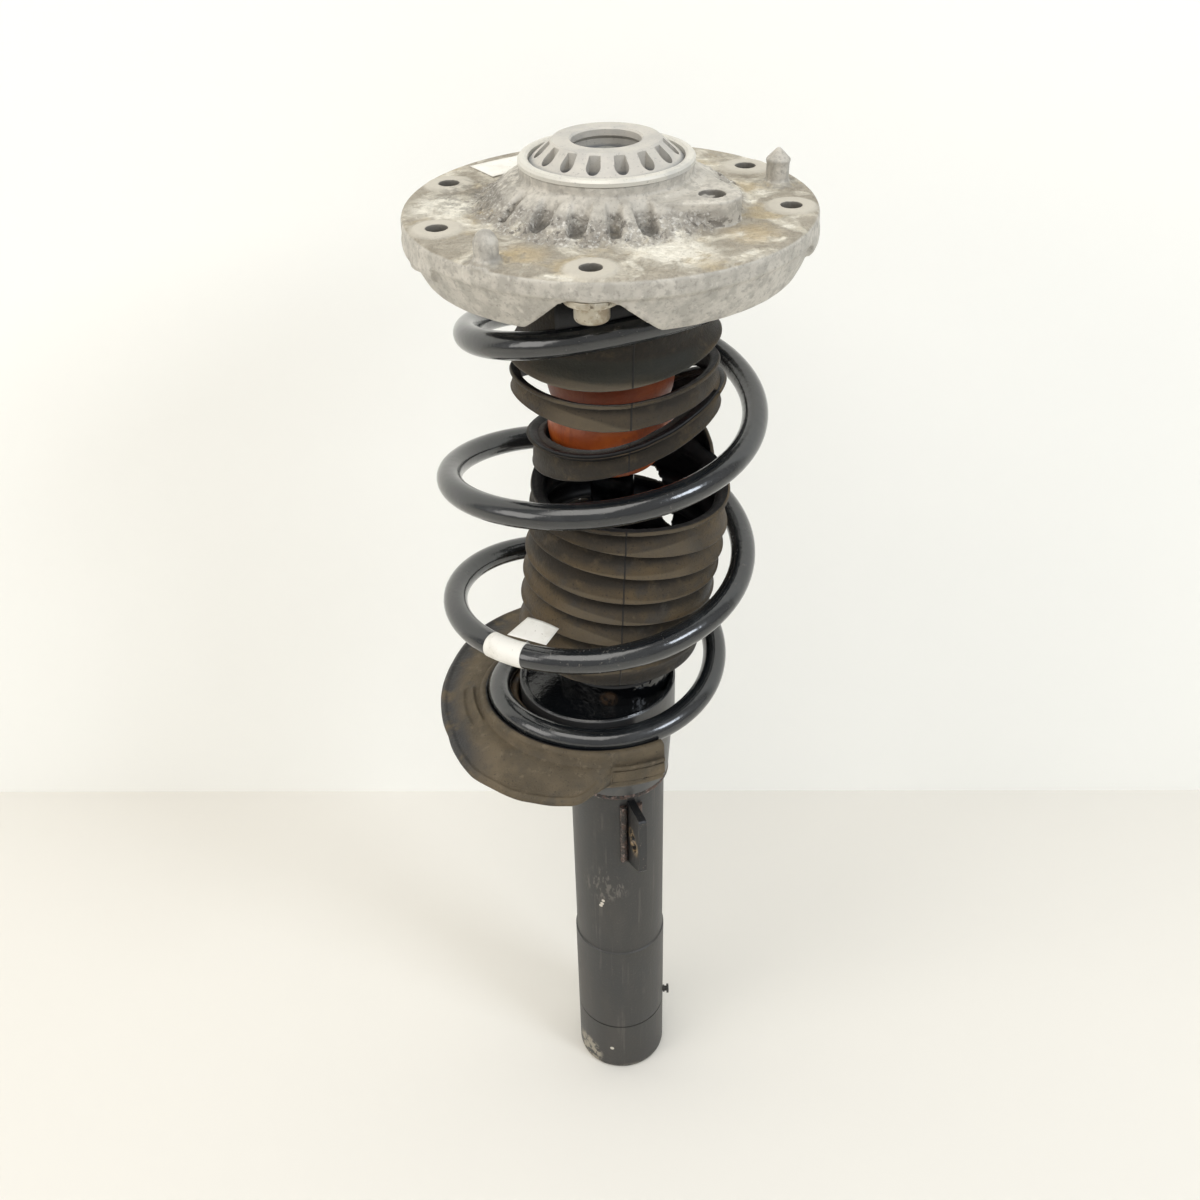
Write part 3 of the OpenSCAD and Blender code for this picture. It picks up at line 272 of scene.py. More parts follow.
def spring_coating():
    """Gloss black epoxy powder coat on spring steel, slightly wavy, with dust and fine nicks."""
    f = Finish("gloss_black_epoxy_coat", "#14171a", 0.16,
               Specular_IOR_Level=0.75, Coat_Weight=0.35, Coat_Roughness=0.08)
    f.mottle((35, 0.45, 0.72, 4, "#2b2e30", 0.3, 0.8), (0.8, 0.73, 0.78, 1, "#6e6a62", 0.5, 0.5))
    f.paint(f.where(f.spots(3, 0.62, 0.7, detail=3), f.spots(40, 0.5, 0.65)), "#5f5b54", 0.5, 0.5)
    f.relief(f.spots(3.5, 0.2, 0.8, detail=2), 0.05)
    return f.done()


def boot_rubber():
    """Moulded natural rubber under brown road dust, with black speckle where the dust has come off."""
    f = Finish("dusty_natural_rubber", "#433a2d", 0.78,
               Specular_IOR_Level=0.35, Sheen_Weight=0.12, Sheen_Roughness=0.5)
    f.mottle((26, 0.38, 0.68, 3, "#5c4d36", 0.85, 0.8), (15, 0.5, 0.72, 4, "#3a3733", 0.7, 0.75),
             (1.3, 0.58, 0.7, 3, "#211f1d", 0.7, 0.75), (0.7, 0.64, 0.72, 2, "#161513", 0.7, 0.7),
             (7, 0.62, 0.75, 5, "#6a5c45", 0.85, 0.5))
    # Painted shade on the folds' undersides and in their valleys, and a painted highlight along the ridges
    # in front.
    f.paint(f.where(f.facing(UP, 0.4, 0.0), f.spots(3, 0.3, 0.55, detail=4)), "#2c2822", 0.7, 0.75)
    # Painted shade in the valleys between the folds.
    f.paint(f.where(f.round_axis(4, 0, 46.6, 2.4), f.spots(9, 0.25, 0.5)), "#231f19", 0.8, 0.8)
    # Painted highlight: pale ridges in front.
    ridges = f.where(f.without(f.round_axis(5, 0, 49.4, 0.5)), f.along(BACK, -34, -44))
    f.paint(ridges, "#6f6350", 0.8, 0.45)
    wiped = f.where(f.near((48, -14, 391), 8, 9), f.spots(6, 0.34, 0.5, detail=3), f.facing(UP, 0.5, 0.2))
    f.paint(wiped, "#1a1917", 0.5, 0.85)
    # Painted shade on the collar's lower flank in front.
    collar_flank_shade = f.where(f.along(UP, 520, 523), f.along(UP, 532, 529), f.along(BACK, -22, -38))
    f.paint(collar_flank_shade, "#26271f", 0.62, 0.75)
    f.paint(f.where(f.along(UP, 523, 520.8), f.along(UP, 515, 517)), "#5f574a", 0.7, 0.6)
    # Upright mould line in front.
    line = f.where(f.along((1, 0, -0.045), -14.9, -14.5), f.along((1, 0, -0.045), -13.7, -14.1),
                   f.along(BACK, -20, -30))
    f.paint(line, "#1d1b19", 0.7, 0.85)
    f.relief(line, 0.3)
    f.grain(1.2, 0.14, 4)
    return f.done()


def inner_rubber():
    """The clean black inside of the boot."""
    f = Finish("clean_black_rubber", "#0c0c0e", 0.5, Specular_IOR_Level=0.4)
    f.mottle((12, 0.45, 0.7, 4, "#1a1a1c", 0.62, 1))
    f.grain(2, 0.1)
    return f.done()


def pad_rubber():
    """Moulded rubber pad under brown road dust, wiped black along its left rim."""
    f = Finish("dusty_pad_rubber", "#4f4637", 0.7, Specular_IOR_Level=0.4)
    f.mottle((30, 0.36, 0.62, 3, "#665a47", 0.8, 0.85), (14, 0.52, 0.74, 5, "#423d34", 0.62, 0.75),
             (6, 0.56, 0.74, 5, "#776b58", 0.8, 0.6), (1.2, 0.62, 0.72, 2, "#24211e", 0.7, 0.6))
    rim = f.where(f.without(f.round_axis(-5, 0, 79, 10)), f.along((-1, 0.1, 0), 55, 80))
    f.paint(f.where(rim, f.spots(14, 0.3, 0.5, detail=4)), "#26272a", 0.45, 0.9)
    # Painted shadow of the wire: its groove and the pad inside it are black; dust lies inside it.
    f.paint(f.round_axis(-10, -5, 62.0, 0.6), "#16171a", 0.3, 0.9)
    dust = f.where(f.round_axis(-9.5, -5, 50.5, 0.8), f.spots(12, 0.3, 0.5, detail=3))
    f.paint(dust, "#5a4a36", 0.75, 0.9)
    f.grain(1.4, 0.14, 4)
    f.grain(9, 0.3, 2)
    return f.done()


def black_rubber():
    """Moulded black rubber, clean and semi-matt."""
    f = Finish("moulded_black_rubber", "#131315", 0.5, Specular_IOR_Level=0.45)
    f.mottle((16, 0.45, 0.7, 4, "#232325", 0.62, 0.8))
    f.grain(1.5, 0.08)
    return f.done()


def black_plastic():
    """Glass-filled nylon, moulded, with a slight gloss."""
    f = Finish("glass_filled_nylon", "#141416", 0.32)
    f.mottle((20, 0.45, 0.7, 4, "#222224", 0.48, 0.8))
    f.grain(1.0, 0.03, 2)
    return f.done()


def orange_foam():
    """Cellular polyurethane, orange, with fine upright cracks, darker skin, and painted shade over its
    upper part.
    """
    f = Finish("cellular_polyurethane", "#94420f", 0.42,
               Subsurface_Weight=0.12, Subsurface_Scale=0.004)
    f.mottle((16, 0.42, 0.68, 3, "#b25a1b", 0.38, 0.8))
    # Painted shade over the upper part, deep inside the boot.
    f.paint(f.along(UP, 485, 494), "#5c230e", 0.5, 0.65)
    f.paint(f.spots(7, 0.55, 0.75, detail=4, stretch=(1, 1, 0.4)), "#7c2f0c", 0.5, 0.6)
    cracks = f.where(f.spots(2.4, 0.485, 0.5, detail=1, stretch=(1, 1, 0.12)), f.spots(12, 0.5, 0.6))
    f.paint(cracks, "#5a1f08", 0.6, 0.25)
    f.grain(1.8, 0.08)
    return f.done()


# Where oxide has bloomed white, and where rust water has stained the flange tan.
WHITE_BLOOMS = ((28, -67), (-72, -4), (18, -55))
TAN_STAINS = ((-36, -65), (59, -47))


def cast_aluminium():
    """Die-cast aluminium: cloudy pale grey skin, white and tan oxide crust on the flange, pitted lower
    ribs, smooth grey-beige pads round the holes."""
    f = Finish("die_cast_aluminium_oxidised", "#c6c1b7", 0.55, metallic=0.12, Specular_IOR_Level=0.4)
    low_top = f.where(f.facing(UP, 0.5, 0.85), f.along(UP, 592.5, 589.5))
    pads = f.either(*[f.round_axis(*hole_place(angle), 9.0, 4.5) for angle in HOLE_ANGLES])
    flange = f.where(low_top, f.without(pads))
    # Cast skin: soft clouds, and fine dark specks.
    f.mottle((20, 0.36, 0.66, 3, "#aeaaa1", 0.6, 0.7), (7, 0.44, 0.62, 6, "#9b978f", 0.62, 0.6),
             (2.6, 0.52, 0.66, 5, "#8b8780", 0.62, 0.5), (1.3, 0.58, 0.7, 3, "#827e78", 0.6, 0.4),
             (3.2, 0.58, 0.74, 4, "#d6d2c8", 0.6, 0.5))
    # Flange: beige grime, white and tan crust that is thick in a few places, and smooth pads.
    f.paint(flange, "#a39b8c", 0.75, 0.85)
    f.paint(f.where(flange, f.spots(9, 0.46, 0.62, detail=6, distort=0.6)), "#918a7c", 0.8, 0.6)
    crust = f.where(flange, f.spots(21, 0.46, 0.64, detail=5, distort=0.8))
    f.paint(crust, "#d6d0c1", 0.9, 0.75)
    f.paint(f.where(crust, f.spots(7, 0.46, 0.62, detail=5, distort=0.5)), "#ece8dc", 0.9, 0.75)
    f.paint(f.where(flange, f.spots(26, 0.5, 0.66, detail=4)), "#c4b087", 0.85, 0.45)
    for x, y in WHITE_BLOOMS:
        bloom = f.where(flange, f.near((x, y, 587), 8, 13), f.spots(7, 0.3, 0.55, detail=6, distort=0.5))
        f.paint(bloom, "#eae6da", 0.9, 0.85)
    for x, y in TAN_STAINS:
        stain = f.where(flange, f.near((x, y, 587), 4, 12), f.spots(8, 0.3, 0.55, detail=5))
        f.paint(stain, "#c2ad86", 0.85, 0.5)
    f.paint(f.where(flange, f.spots(2.2, 0.57, 0.66, detail=5)), "#7d766a", 0.85, 0.3)
    f.paint(f.where(low_top, pads), "#bfb9ac", 0.6, 0.85)
    # Gussets: grey grime with bright sparkle low down, clean higher up, and painted shade in the hollows
    # between them.
    ribs = f.where(f.round_axis(0, 0, 58, 5), f.without(f.round_axis(0, 0, 40.6, 1.5)),
                   f.along(UP, 596.8, 594), f.along(UP, 586.4, 587.3))
    f.mottle((8, 0.36, 0.56, 6, "#98938b", 0.65, 0.8), (3.0, 0.55, 0.64, 5, "#5f5b56", 0.7, 0.7),
             (1.7, 0.54, 0.62, 4, "#e8e6e0", 0.35, 0.45), within=ribs)
    hollows = []
    for angle, half in POCKETS:
        out = toward(angle)
        across = (-out.y, out.x, 0)
        hollows.append(f.where(f.along(across, -half, -half + 1.6), f.along(across, half, half - 1.6),
                               f.along(out, 42, 46)))
    # Painted shade low in the hollows.
    deep = f.where(f.either(*hollows), f.round_axis(0, 0, 53.5, 2), f.along(UP, 596, 589))
    f.paint(deep, "#5f5d59", 0.6, 0.75)
    # Dark grime left of the hub and at the foot of the ear.
    grime = f.where(f.near((-50, 8, 590), 20, 14), f.spots(3.5, 0.42, 0.6, detail=6), f.along(UP, 586, 587))
    f.paint(grime, "#6b675f", 0.7, 0.55)
    foot = f.where(f.near((52, -34, 589), 14, 12), f.along(UP, 594.5, 590), f.along(UP, 587.9, 588.6),
                   f.spots(4, 0.5, 0.6, detail=5))
    f.paint(foot, "#625d56", 0.7, 0.8)
    bores = f.either(f.round_axis(*EAR_HOLE, 5.6, 0.5),
                     *[f.round_axis(*hole_place(angle), 5.0, 0.5) for angle in HOLE_ANGLES])
    f.paint(f.where(bores, f.without(f.facing(UP, 0.5, 0.8))), "#5a5751", 0.6, 0.85)
    for x, y in STUDS:
        streaks = f.where(f.near((x, y, 592), 9, 3), f.spots(5, 0.35, 0.6, detail=4, stretch=(1, 1, 0.3)))
        f.paint(streaks, "#8d8a84", 0.6, 0.6)
    f.relief(f.where(f.spots(2.0, 0.4, 0.7, detail=5), f.either(ribs, flange)), 0.5)
    f.grain(1.1, 0.08)
    return f.done()


def clean_aluminium():
    """Die-cast aluminium that has stayed clean: matt, warm grey, blasted."""
    f = Finish("die_cast_aluminium_blasted", "#c4c0b8", 0.5, metallic=0.3, Specular_IOR_Level=0.45)
    f.mottle((12, 0.4, 0.7, 4, "#b0aeaa", 0.55, 0.7), (1.2, 0.6, 0.7, 3, "#8f8e8b", 0.6, 0.5))
    # Painted shade, bluish, inside the windows.
    f.paint(f.along(UP, 607.6, 606), "#7b8087", 0.5, 0.7)
    f.grain(0.8, 0.05, 2)
    return f.done()


def ring_aluminium():
    """Spun aluminium ring, smooth and pale."""
    f = Finish("spun_aluminium", "#d2cfc6", 0.42, metallic=0.3)
    f.mottle((14, 0.45, 0.7, 3, "#bab9b4", 0.5, 0.7), (1.0, 0.64, 0.72, 2, "#96948f", 0.6, 0.5))
    return f.done()


def bare_steel():
    """Machined steel, oily."""
    f = Finish("machined_steel", "#8f9194", 0.34, metallic=1.0)
    f.mottle((10, 0.4, 0.7, 4, "#6f7174", 0.45, 0.8))
    f.relief(f.spots(0.6, 0.3, 0.8, stretch=(1, 1, 6)), 0.02)
    return f.done()


def rod_chrome():
    """Hard chrome, ground, with an oil film."""
    f = Finish("ground_hard_chrome", "#c6cacd", 0.08, metallic=1.0)
    f.paint(f.spots(8, 0.5, 0.7, stretch=(1, 1, 0.2)), "#9fa3a6", 0.16, 0.6)
    return f.done()


def zinc_steel():
    """Zinc-plated steel, dulled, with brown oil stain."""
    f = Finish("dull_zinc_plate", "#b9b2a2", 0.42, metallic=0.7)
    f.mottle((7, 0.42, 0.64, 5, "#8d7d66", 0.55, 0.75), (2, 0.58, 0.7, 4, "#54483a", 0.6, 0.75),
             (4, 0.58, 0.7, 3, "#ddd8cb", 0.35, 0.6))
    f.grain(1.4, 0.06)
    return f.done()


def weld_steel():
    """Weld bead under thin black paint, with rust and slag specks."""
    f = Finish("painted_weld_bead", "#3b3835", 0.45, metallic=0.2, Specular_IOR_Level=0.6)
    f.mottle((4, 0.45, 0.62, 5, "#6a5348", 0.6, 0.8), (1.8, 0.55, 0.66, 4, "#a58d84", 0.5, 0.8),
             (2.2, 0.56, 0.66, 3, "#171514", 0.4, 0.9))
    f.grain(1.8, 0.8, 4)
    return f.done()


def bracket_paint():
    """Satin black electrocoat on steel plate, rubbed bare along its edges and round the hole."""
    f = Finish("satin_black_ecoat_plate", "#1d1e20", 0.3, Specular_IOR_Level=0.55)
    hole = f.near((10.2, -38.2, 227.8), 8.6, 0.8)
    f.paint(f.where(hole, f.spots(3, 0.42, 0.6, detail=4)), "#a58c68", 0.35, 0.85)
    f.mottle((6, 0.55, 0.7, 4, "#3c3b39", 0.45, 0.7), (1.2, 0.64, 0.72, 2, "#7a6d5f", 0.5, 0.7))
    f.grain(1.5, 0.05)
    return f.done()


def label_film():
    """White polyester label film, bare, slightly glossy and soiled."""
    f = Finish("white_polyester_label", "#e9e7e0", 0.42)
    f.mottle((14, 0.5, 0.75, 4, "#cfcbc0", 0.55, 0.6), (1.2, 0.66, 0.74, 2, "#9c968a", 0.6, 0.6))
    return f.done()


# ---------------------------------------------------------------- mesh helpers


def new_object(name, data):
    """A new object in the scene."""
    made = bpy.data.objects.new(name, data)
    bpy.context.scene.collection.objects.link(made)
    return made


def piece(name, points, faces, materials, body):
    """A smooth mesh object that rides a body; materials has the finish, and the inner side's if any."""
    mesh = bpy.data.meshes.new(name)
    mesh.from_pydata([tuple(c * MM for c in p) for p in points], [], faces)
    mesh.validate()
    mesh.shade_smooth()
    for material in materials:
        mesh.materials.append(material)
    made = new_object(name, mesh)
    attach(made, body)
    return made


def weld_points(obj, distance, fill=False):
    """Joins points nearer than a distance, closes holes if asked, and turns all faces outwards."""
    merged = bmesh.new()
    merged.from_mesh(obj.data)
    bmesh.ops.remove_doubles(merged, verts=merged.verts, dist=distance * MM)
    open_edges = [e for e in merged.edges if e.is_boundary]
    if fill and open_edges:
        bmesh.ops.holes_fill(merged, edges=open_edges)
    bmesh.ops.recalc_face_normals(merged, faces=merged.faces)
    merged.to_mesh(obj.data)
    merged.free()


def bake(obj):
    """Applies the modifiers of an object to its mesh."""
    depsgraph = bpy.context.evaluated_depsgraph_get()
    shaped = bpy.data.meshes.new_from_object(obj.evaluated_get(depsgraph))
    obj.modifiers.clear()
    old = obj.data
    obj.data = shaped
    bpy.data.meshes.remove(old)


def modify(obj, kind, **settings):
    """Adds a modifier with its settings and applies it."""
    made = obj.modifiers.new(kind.lower(), kind)
    for name, value in settings.items():
        setattr(made, name, value)
    bake(obj)


def skin(rings, closed=True, capped=True):
    """Points and faces of a skin over rings of equally many points."""
    count = len(rings[0])
    faces = []
    for j in range(len(rings) - 1):
        for i in range(count if closed else count - 1):
            k = (i + 1) % count
            faces.append((j * count + i, j * count + k, (j + 1) * count + k, (j + 1) * count + i))
    if capped:
        faces.append(tuple(range(count - 1, -1, -1)))
        faces.append(tuple((len(rings) - 1) * count + i for i in range(count)))
    return [p for ring in rings for p in ring], faces


def lathe(profile, x=0.0, y=0.0, count=96):
    """Points and faces of a closed profile of radius and height, turned round an upright axis."""
    rings = []
    for j in range(count):
        a = 2 * pi * j / count
        rings.append([(x + r * cos(a), y + r * sin(a), z) for r, z in profile])
    return skin(rings + [rings[0]], capped=False)


def sheet(point_at, rows, columns):
    """Points and faces of a thin closed sheet; point_at takes two shares, and 0 or 1 for its side."""
    grid = [[tuple(point_at(i / columns, j / rows, side)) for i in range(columns + 1)]
            for side in (0, 1) for j in range(rows + 1)]
    upper, lower = grid[:rows + 1], grid[rows + 1:]
    return skin(upper + lower[::-1] + [grid[0]], closed=False, capped=False)


def several(parts):
    """Points and faces of several parts as one."""
    points, faces = [], []
    for some_points, some_faces in parts:
        faces += [tuple(i + len(points) for i in face) for face in some_faces]
        points += some_points
    return points, faces


def smoothstep(t):
    """0 to 1 with soft ends as t goes from 0 to 1."""
    t = np.clip(t, 0.0, 1.0)
    return t * t * (3 - 2 * t)


def lumps(point, size=1):
    """Height of smooth random lumps of about a size at a point, from -1 to 1."""
    return noise.noise(Vector(point) / size)


def hump(value, low, high):
    """1 in the middle between low and high, falling smoothly to 0 at both."""
    share = (value - low) / (high - low)
    return sin(pi * share) ** 2 if 0 < share < 1 else 0.0


# ---------------------------------------------------------------- coil spring

COIL_TURNS = 3.98
COIL_FROM = 100.0
# How far the coiled wire stands above its even law and outside it, at even steps from end to end.
WIRE_UP = (0, 5.1, 7.9, 2.6, -0.6, 1.8, 5.3, 7.9, 5.1, -0.4, -2.6, -0.9, 1.3,
           3.0, 6.1, 3.5, -0.6, -1.5, -1.5, -0.8, 0.9, 2.4, 1.2, 1.1, 0)
WIRE_OUT = (0, -1.2, -1.9, -1.2, -0.7, -0.3, 0.1, 0.3, -0.2, -0.6, -1.3, -1.5, -1.2,
            -0.9, -0.8, -0.8, -0.8, -0.8, -0.5, -0.3, -0.1, 0.1, 0.4, 0.2, 0)
# The wire's ends are rounded over: how far each step draws in and juts out.
END_STEPS = ((0.0, 0.0), (0.15, 0.5), (0.6, 0.9), (1.4, 1.05))


def bends(values):
    """Second differences of the smooth curve through evenly spaced values."""
    count = len(values)
    sides, right = np.eye(count), np.zeros(count)
    for i in range(1, count - 1):
        sides[i, i - 1:i + 2] = (1, 4, 1)
        right[i] = 6 * (values[i - 1] - 2 * values[i] + values[i + 1])
    return np.linalg.solve(sides, right)


def smooth_through(values, bent, share):
    """The smooth curve through evenly spaced values, at a share of its length."""
    at_step = min(max(share, 0.0), 1.0) * (len(values) - 1)
    i = min(int(at_step), len(values) - 2)
    t = at_step - i
    straight = values[i] * (1 - t) + values[i + 1] * t
    return float(straight - t * (1 - t) / 6 * ((2 - t) * bent[i] + (1 + t) * bent[i + 1]))


UP_BENDS, OUT_BENDS = bends(WIRE_UP), bends(WIRE_OUT)


def ramp(t):
    """Area under a smooth step from 0 to 1."""
    return 0.0 if t < 0 else (t ** 3 - t ** 4 / 2 if t < 1 else t - 0.5)


def coil_middle(u):
    """Middle of the coil at u, in plan."""
    return Vector((-10.5 + 7.8 * u, -6.9 + 6.9 * u + 4.8 * sin(pi * u), 0))


def coil_point(u):
    """Centre line of the wire; u runs from 0 at the lower end to 1 at the upper end."""
    a = radians(COIL_FROM + 360 * COIL_TURNS * u)
    radius = 56 + 20 * smoothstep((u - 0.1) / 0.185) - 13.3 * smoothstep((u - 0.7) / 0.114)
    radius += smooth_through(WIRE_OUT, OUT_BENDS, u)
    rise = 24.2 * u + 52.8 * 0.22 * ramp(u / 0.22) - 76 * 0.04 * ramp((u - 0.864) / 0.04)
    rise -= 10.2 * u * (1 - u)
    z = 308.6 + COIL_TURNS * rise + smooth_through(WIRE_UP, UP_BENDS, u)
    return coil_middle(u) + Vector((radius * cos(a), radius * sin(a), z))


def coil_share(degrees):
    """The u at which the wire passes a direction, counted on from turn to turn."""
    return (degrees - COIL_FROM) / (360 * COIL_TURNS)


def coil_frame(u):
    """Point, outward, lift and running directions of the wire at u."""
    step = 0.0005
    tangent = (coil_point(u + step) - coil_point(u - step)).normalized()
    lift = tangent.cross(toward(COIL_FROM + 360 * COIL_TURNS * u)).normalized()
    return coil_point(u), lift.cross(tangent).normalized(), lift, tangent


def wire_rings(start, end, count, radius, sides, ends=True):
    """Rings of points along the wire; its two ends are rounded over when asked."""
    rings = []
    for j in range(count + 1):
        point, out, lift, tangent = coil_frame(start + (end - start) * j / count)
        steps = [(0.0, 0.0)]
        if ends and j == 0:
            steps = [(drawn, -jut) for drawn, jut in reversed(END_STEPS)]
        elif ends and j == count:
            steps = END_STEPS
        for drawn, shift in steps:
            base, r = point + tangent * shift, radius - drawn
            ring = []
            for i in range(sides):
                a = 2 * pi * i / sides
                ring.append(tuple(base + r * (out * cos(a) + lift * sin(a))))
            rings.append(ring)
    return rings


def make_spring(material):
    """The coiled wire in one piece."""
    points, faces = skin(wire_rings(0.0, 1.0, 360, WIRE_R, 32))
    spring = piece("coil_spring_wire", points, faces, [material], "damper_body")
    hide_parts("coil_spring")
    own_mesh(spring)


# ---------------------------------------------------------------- dust boot

SEGMENTS = 180
BOOT_BOTTOM, BOOT_TOP = 350.3, 563.4
BOOT_R = 50.4
BOOT_WALL = 1.9
# How far the wall stands in from its ridges, along one fold: a bead, the flank, the valley and back.
FULL_FOLD = 6.0
FOLD = ((0.04, 0.05), (0.08, 0.7), (0.2, 1.3), (0.4, 2.3), (0.58, 3.9), (0.72, 6.0), (0.82, 6.9),
        (0.9, 6.0), (0.95, 3.0), (0.98, 0.6))
# Ridges of the lower part from below: height at the right, back, left and front, and lean to the right.
RIDGES = (((372, 375, 380, 378.6), 0.8), ((384, 388.5, 395, 391.8), 2.6),
          ((398.8, 404, 409, 404.4), 4.6), ((409, 414.5, 422.5, 419), 6.6), ((422, 429, 435.5, 432), 8.2))
# Inner edge of the lower torn ring: drop below its upper ridge, and radius.
RING_LIP = ((0.5, 45.5), (0.2, 42.5), (-0.8, 40))
# Along the collar: share of the way from its torn edge to its top, and radius.
COLLAR = ((0.012, 50.5), (0.03, 50.4), (0.045, 49.4), (0.1, 48), (0.17, 46), (0.22, 44.7),
          (0.27, 44.5), (0.38, 44.9), (0.55, 44.2), (0.75, 42.6), (1.0, 41.2))
# Slits that the tears left in the back of the boot, as directions, heights and slant.
SLITS = ((56, 85, 418.5, 424.3, 0.17), (46, 62, 392.5, 396.5, 0.5), (113, 129, 409, 413.5, 0.1))
# Directions between which the torn flap stands up, and its height.
FLAP_FROM, FLAP_TO, FLAP_HEIGHT = 28, 66, 11


def rail(right, back, left, front, radius, x, ragged=0.0):
    """Points round one ridge of the boot, from its height on four sides; a torn one is ragged."""
    row = []
    for i in range(SEGMENTS):
        a = 2 * pi * i / SEGMENTS
        c, s = cos(a), sin(a)
        z = ((right + back + left + front) / 4 + (right - left) / 2 * c + (back - front) / 2 * s
             + (right + left - back - front) / 4 * cos(2 * a))
        z += ragged * lumps((c * 9, s * 9, z / 40))
        r = radius + 0.5 * lumps((c * 1.3, s * 1.3, z / 60))
        row.append(Vector((x + r * c, r * s, z)))
    return row


def moved_in(low, high, share, depth):
    """Row of points between two rails, moved in towards the boot's middle."""
    row = []
    for a, b in zip(low, high):
        point = a.lerp(b, share)
        middle = (low[0] + low[SEGMENTS // 2]).lerp(high[0] + high[SEGMENTS // 2], share) / 2
        out = Vector((point.x - middle.x, point.y - middle.y, 0)).normalized()
        row.append(point - out * depth)
    return row


class Wall:
    """The boot's wall, grown row by row."""

    def __init__(self):
        self.points, self.faces = [], []

    def add_row(self, row):
        """Adds a row of points and gives its start."""
        self.points += row
        return len(self.points) - len(row)

    def join(self, low, high, first=0, last=SEGMENTS):
        """Adds the faces between two rows, all round or from one segment to another."""
        for i in range(first, last):
            k, m = i % SEGMENTS, (i + 1) % SEGMENTS
            self.faces.append((low + k, low + m, high + m, high + k))

    def grow(self, low, row):
        """Adds a row of points that joins the one before, and gives its start."""
        start = self.add_row(row)
        self.join(low, start)
        return start

    def fold(self, low, low_row, high_row, depth=FULL_FOLD):
        """One fold from a row that is there already to a new one; gives the new row's start."""
        for share, inward in FOLD:
            low = self.grow(low, moved_in(low_row, high_row, share, inward * depth / FULL_FOLD))
        return self.grow(low, high_row)


def at(degrees):
    """Number of the segment at an angle round the boot."""
    return round(degrees / 360 * SEGMENTS)


def in_slit(face, spare):
    """Whether a face of the boot lies in one of the slits, or within a spare distance of one."""
    middle = face.calc_center_median() / MM
    direction = np.degrees(np.arctan2(middle.y, middle.x - 6)) % 360
    for start, end, low, high, slant in SLITS:
        height = middle.z - slant * (direction - start)
        share = (direction - start + spare) / (end - start + 2 * spare)
        ragged = 0.5 * lumps(middle * 0.8)
        top = low + (high - low) * (0.35 + 0.65 * sin(pi * share))
        if 0 < share < 1 and low - spare < height + ragged < top + spare:
            return True
    return False


def open_slits(boot):
    """Cuts the slits out of the boot's wall, whose faces are made finer there first."""
    cut = bmesh.new()
    cut.from_mesh(boot.data)
    coarse = {edge for face in cut.faces if in_slit(face, 3) for edge in face.edges}
    bmesh.ops.subdivide_edges(cut, edges=list(coarse), cuts=4, use_grid_fill=True)
    bmesh.ops.delete(cut, geom=[face for face in cut.faces if in_slit(face, 0)], context="FACES")
    cut.to_mesh(boot.data)
    cut.free()


def add_flap(wall, torn_rim):
    """Adds the flap that the tear left standing on the rim, at the back right."""
    steps = range(at(FLAP_FROM), at(FLAP_TO))
    lower = None
    for level in range(4):
        row = []
        for i in steps:
            share = (i - steps.start) / len(steps)
            rise = FLAP_HEIGHT * sin(pi * min(1, share * 1.25) ** 0.7) if share < 0.8 else 0
            ragged = 1.6 * lumps((i * 0.9, 3, 0)) if level == 3 else 0
            lifted = torn_rim[i] + Vector((0, 0, 4.5 * hump(i, at(40), at(72))))
            row.append(Vector((lifted.x, lifted.y, lifted.z + rise * level / 3 + ragged)))
        upper = wall.add_row(row)
        if level:
            wall.join(lower, upper, 0, len(row) - 1)
        lower = upper


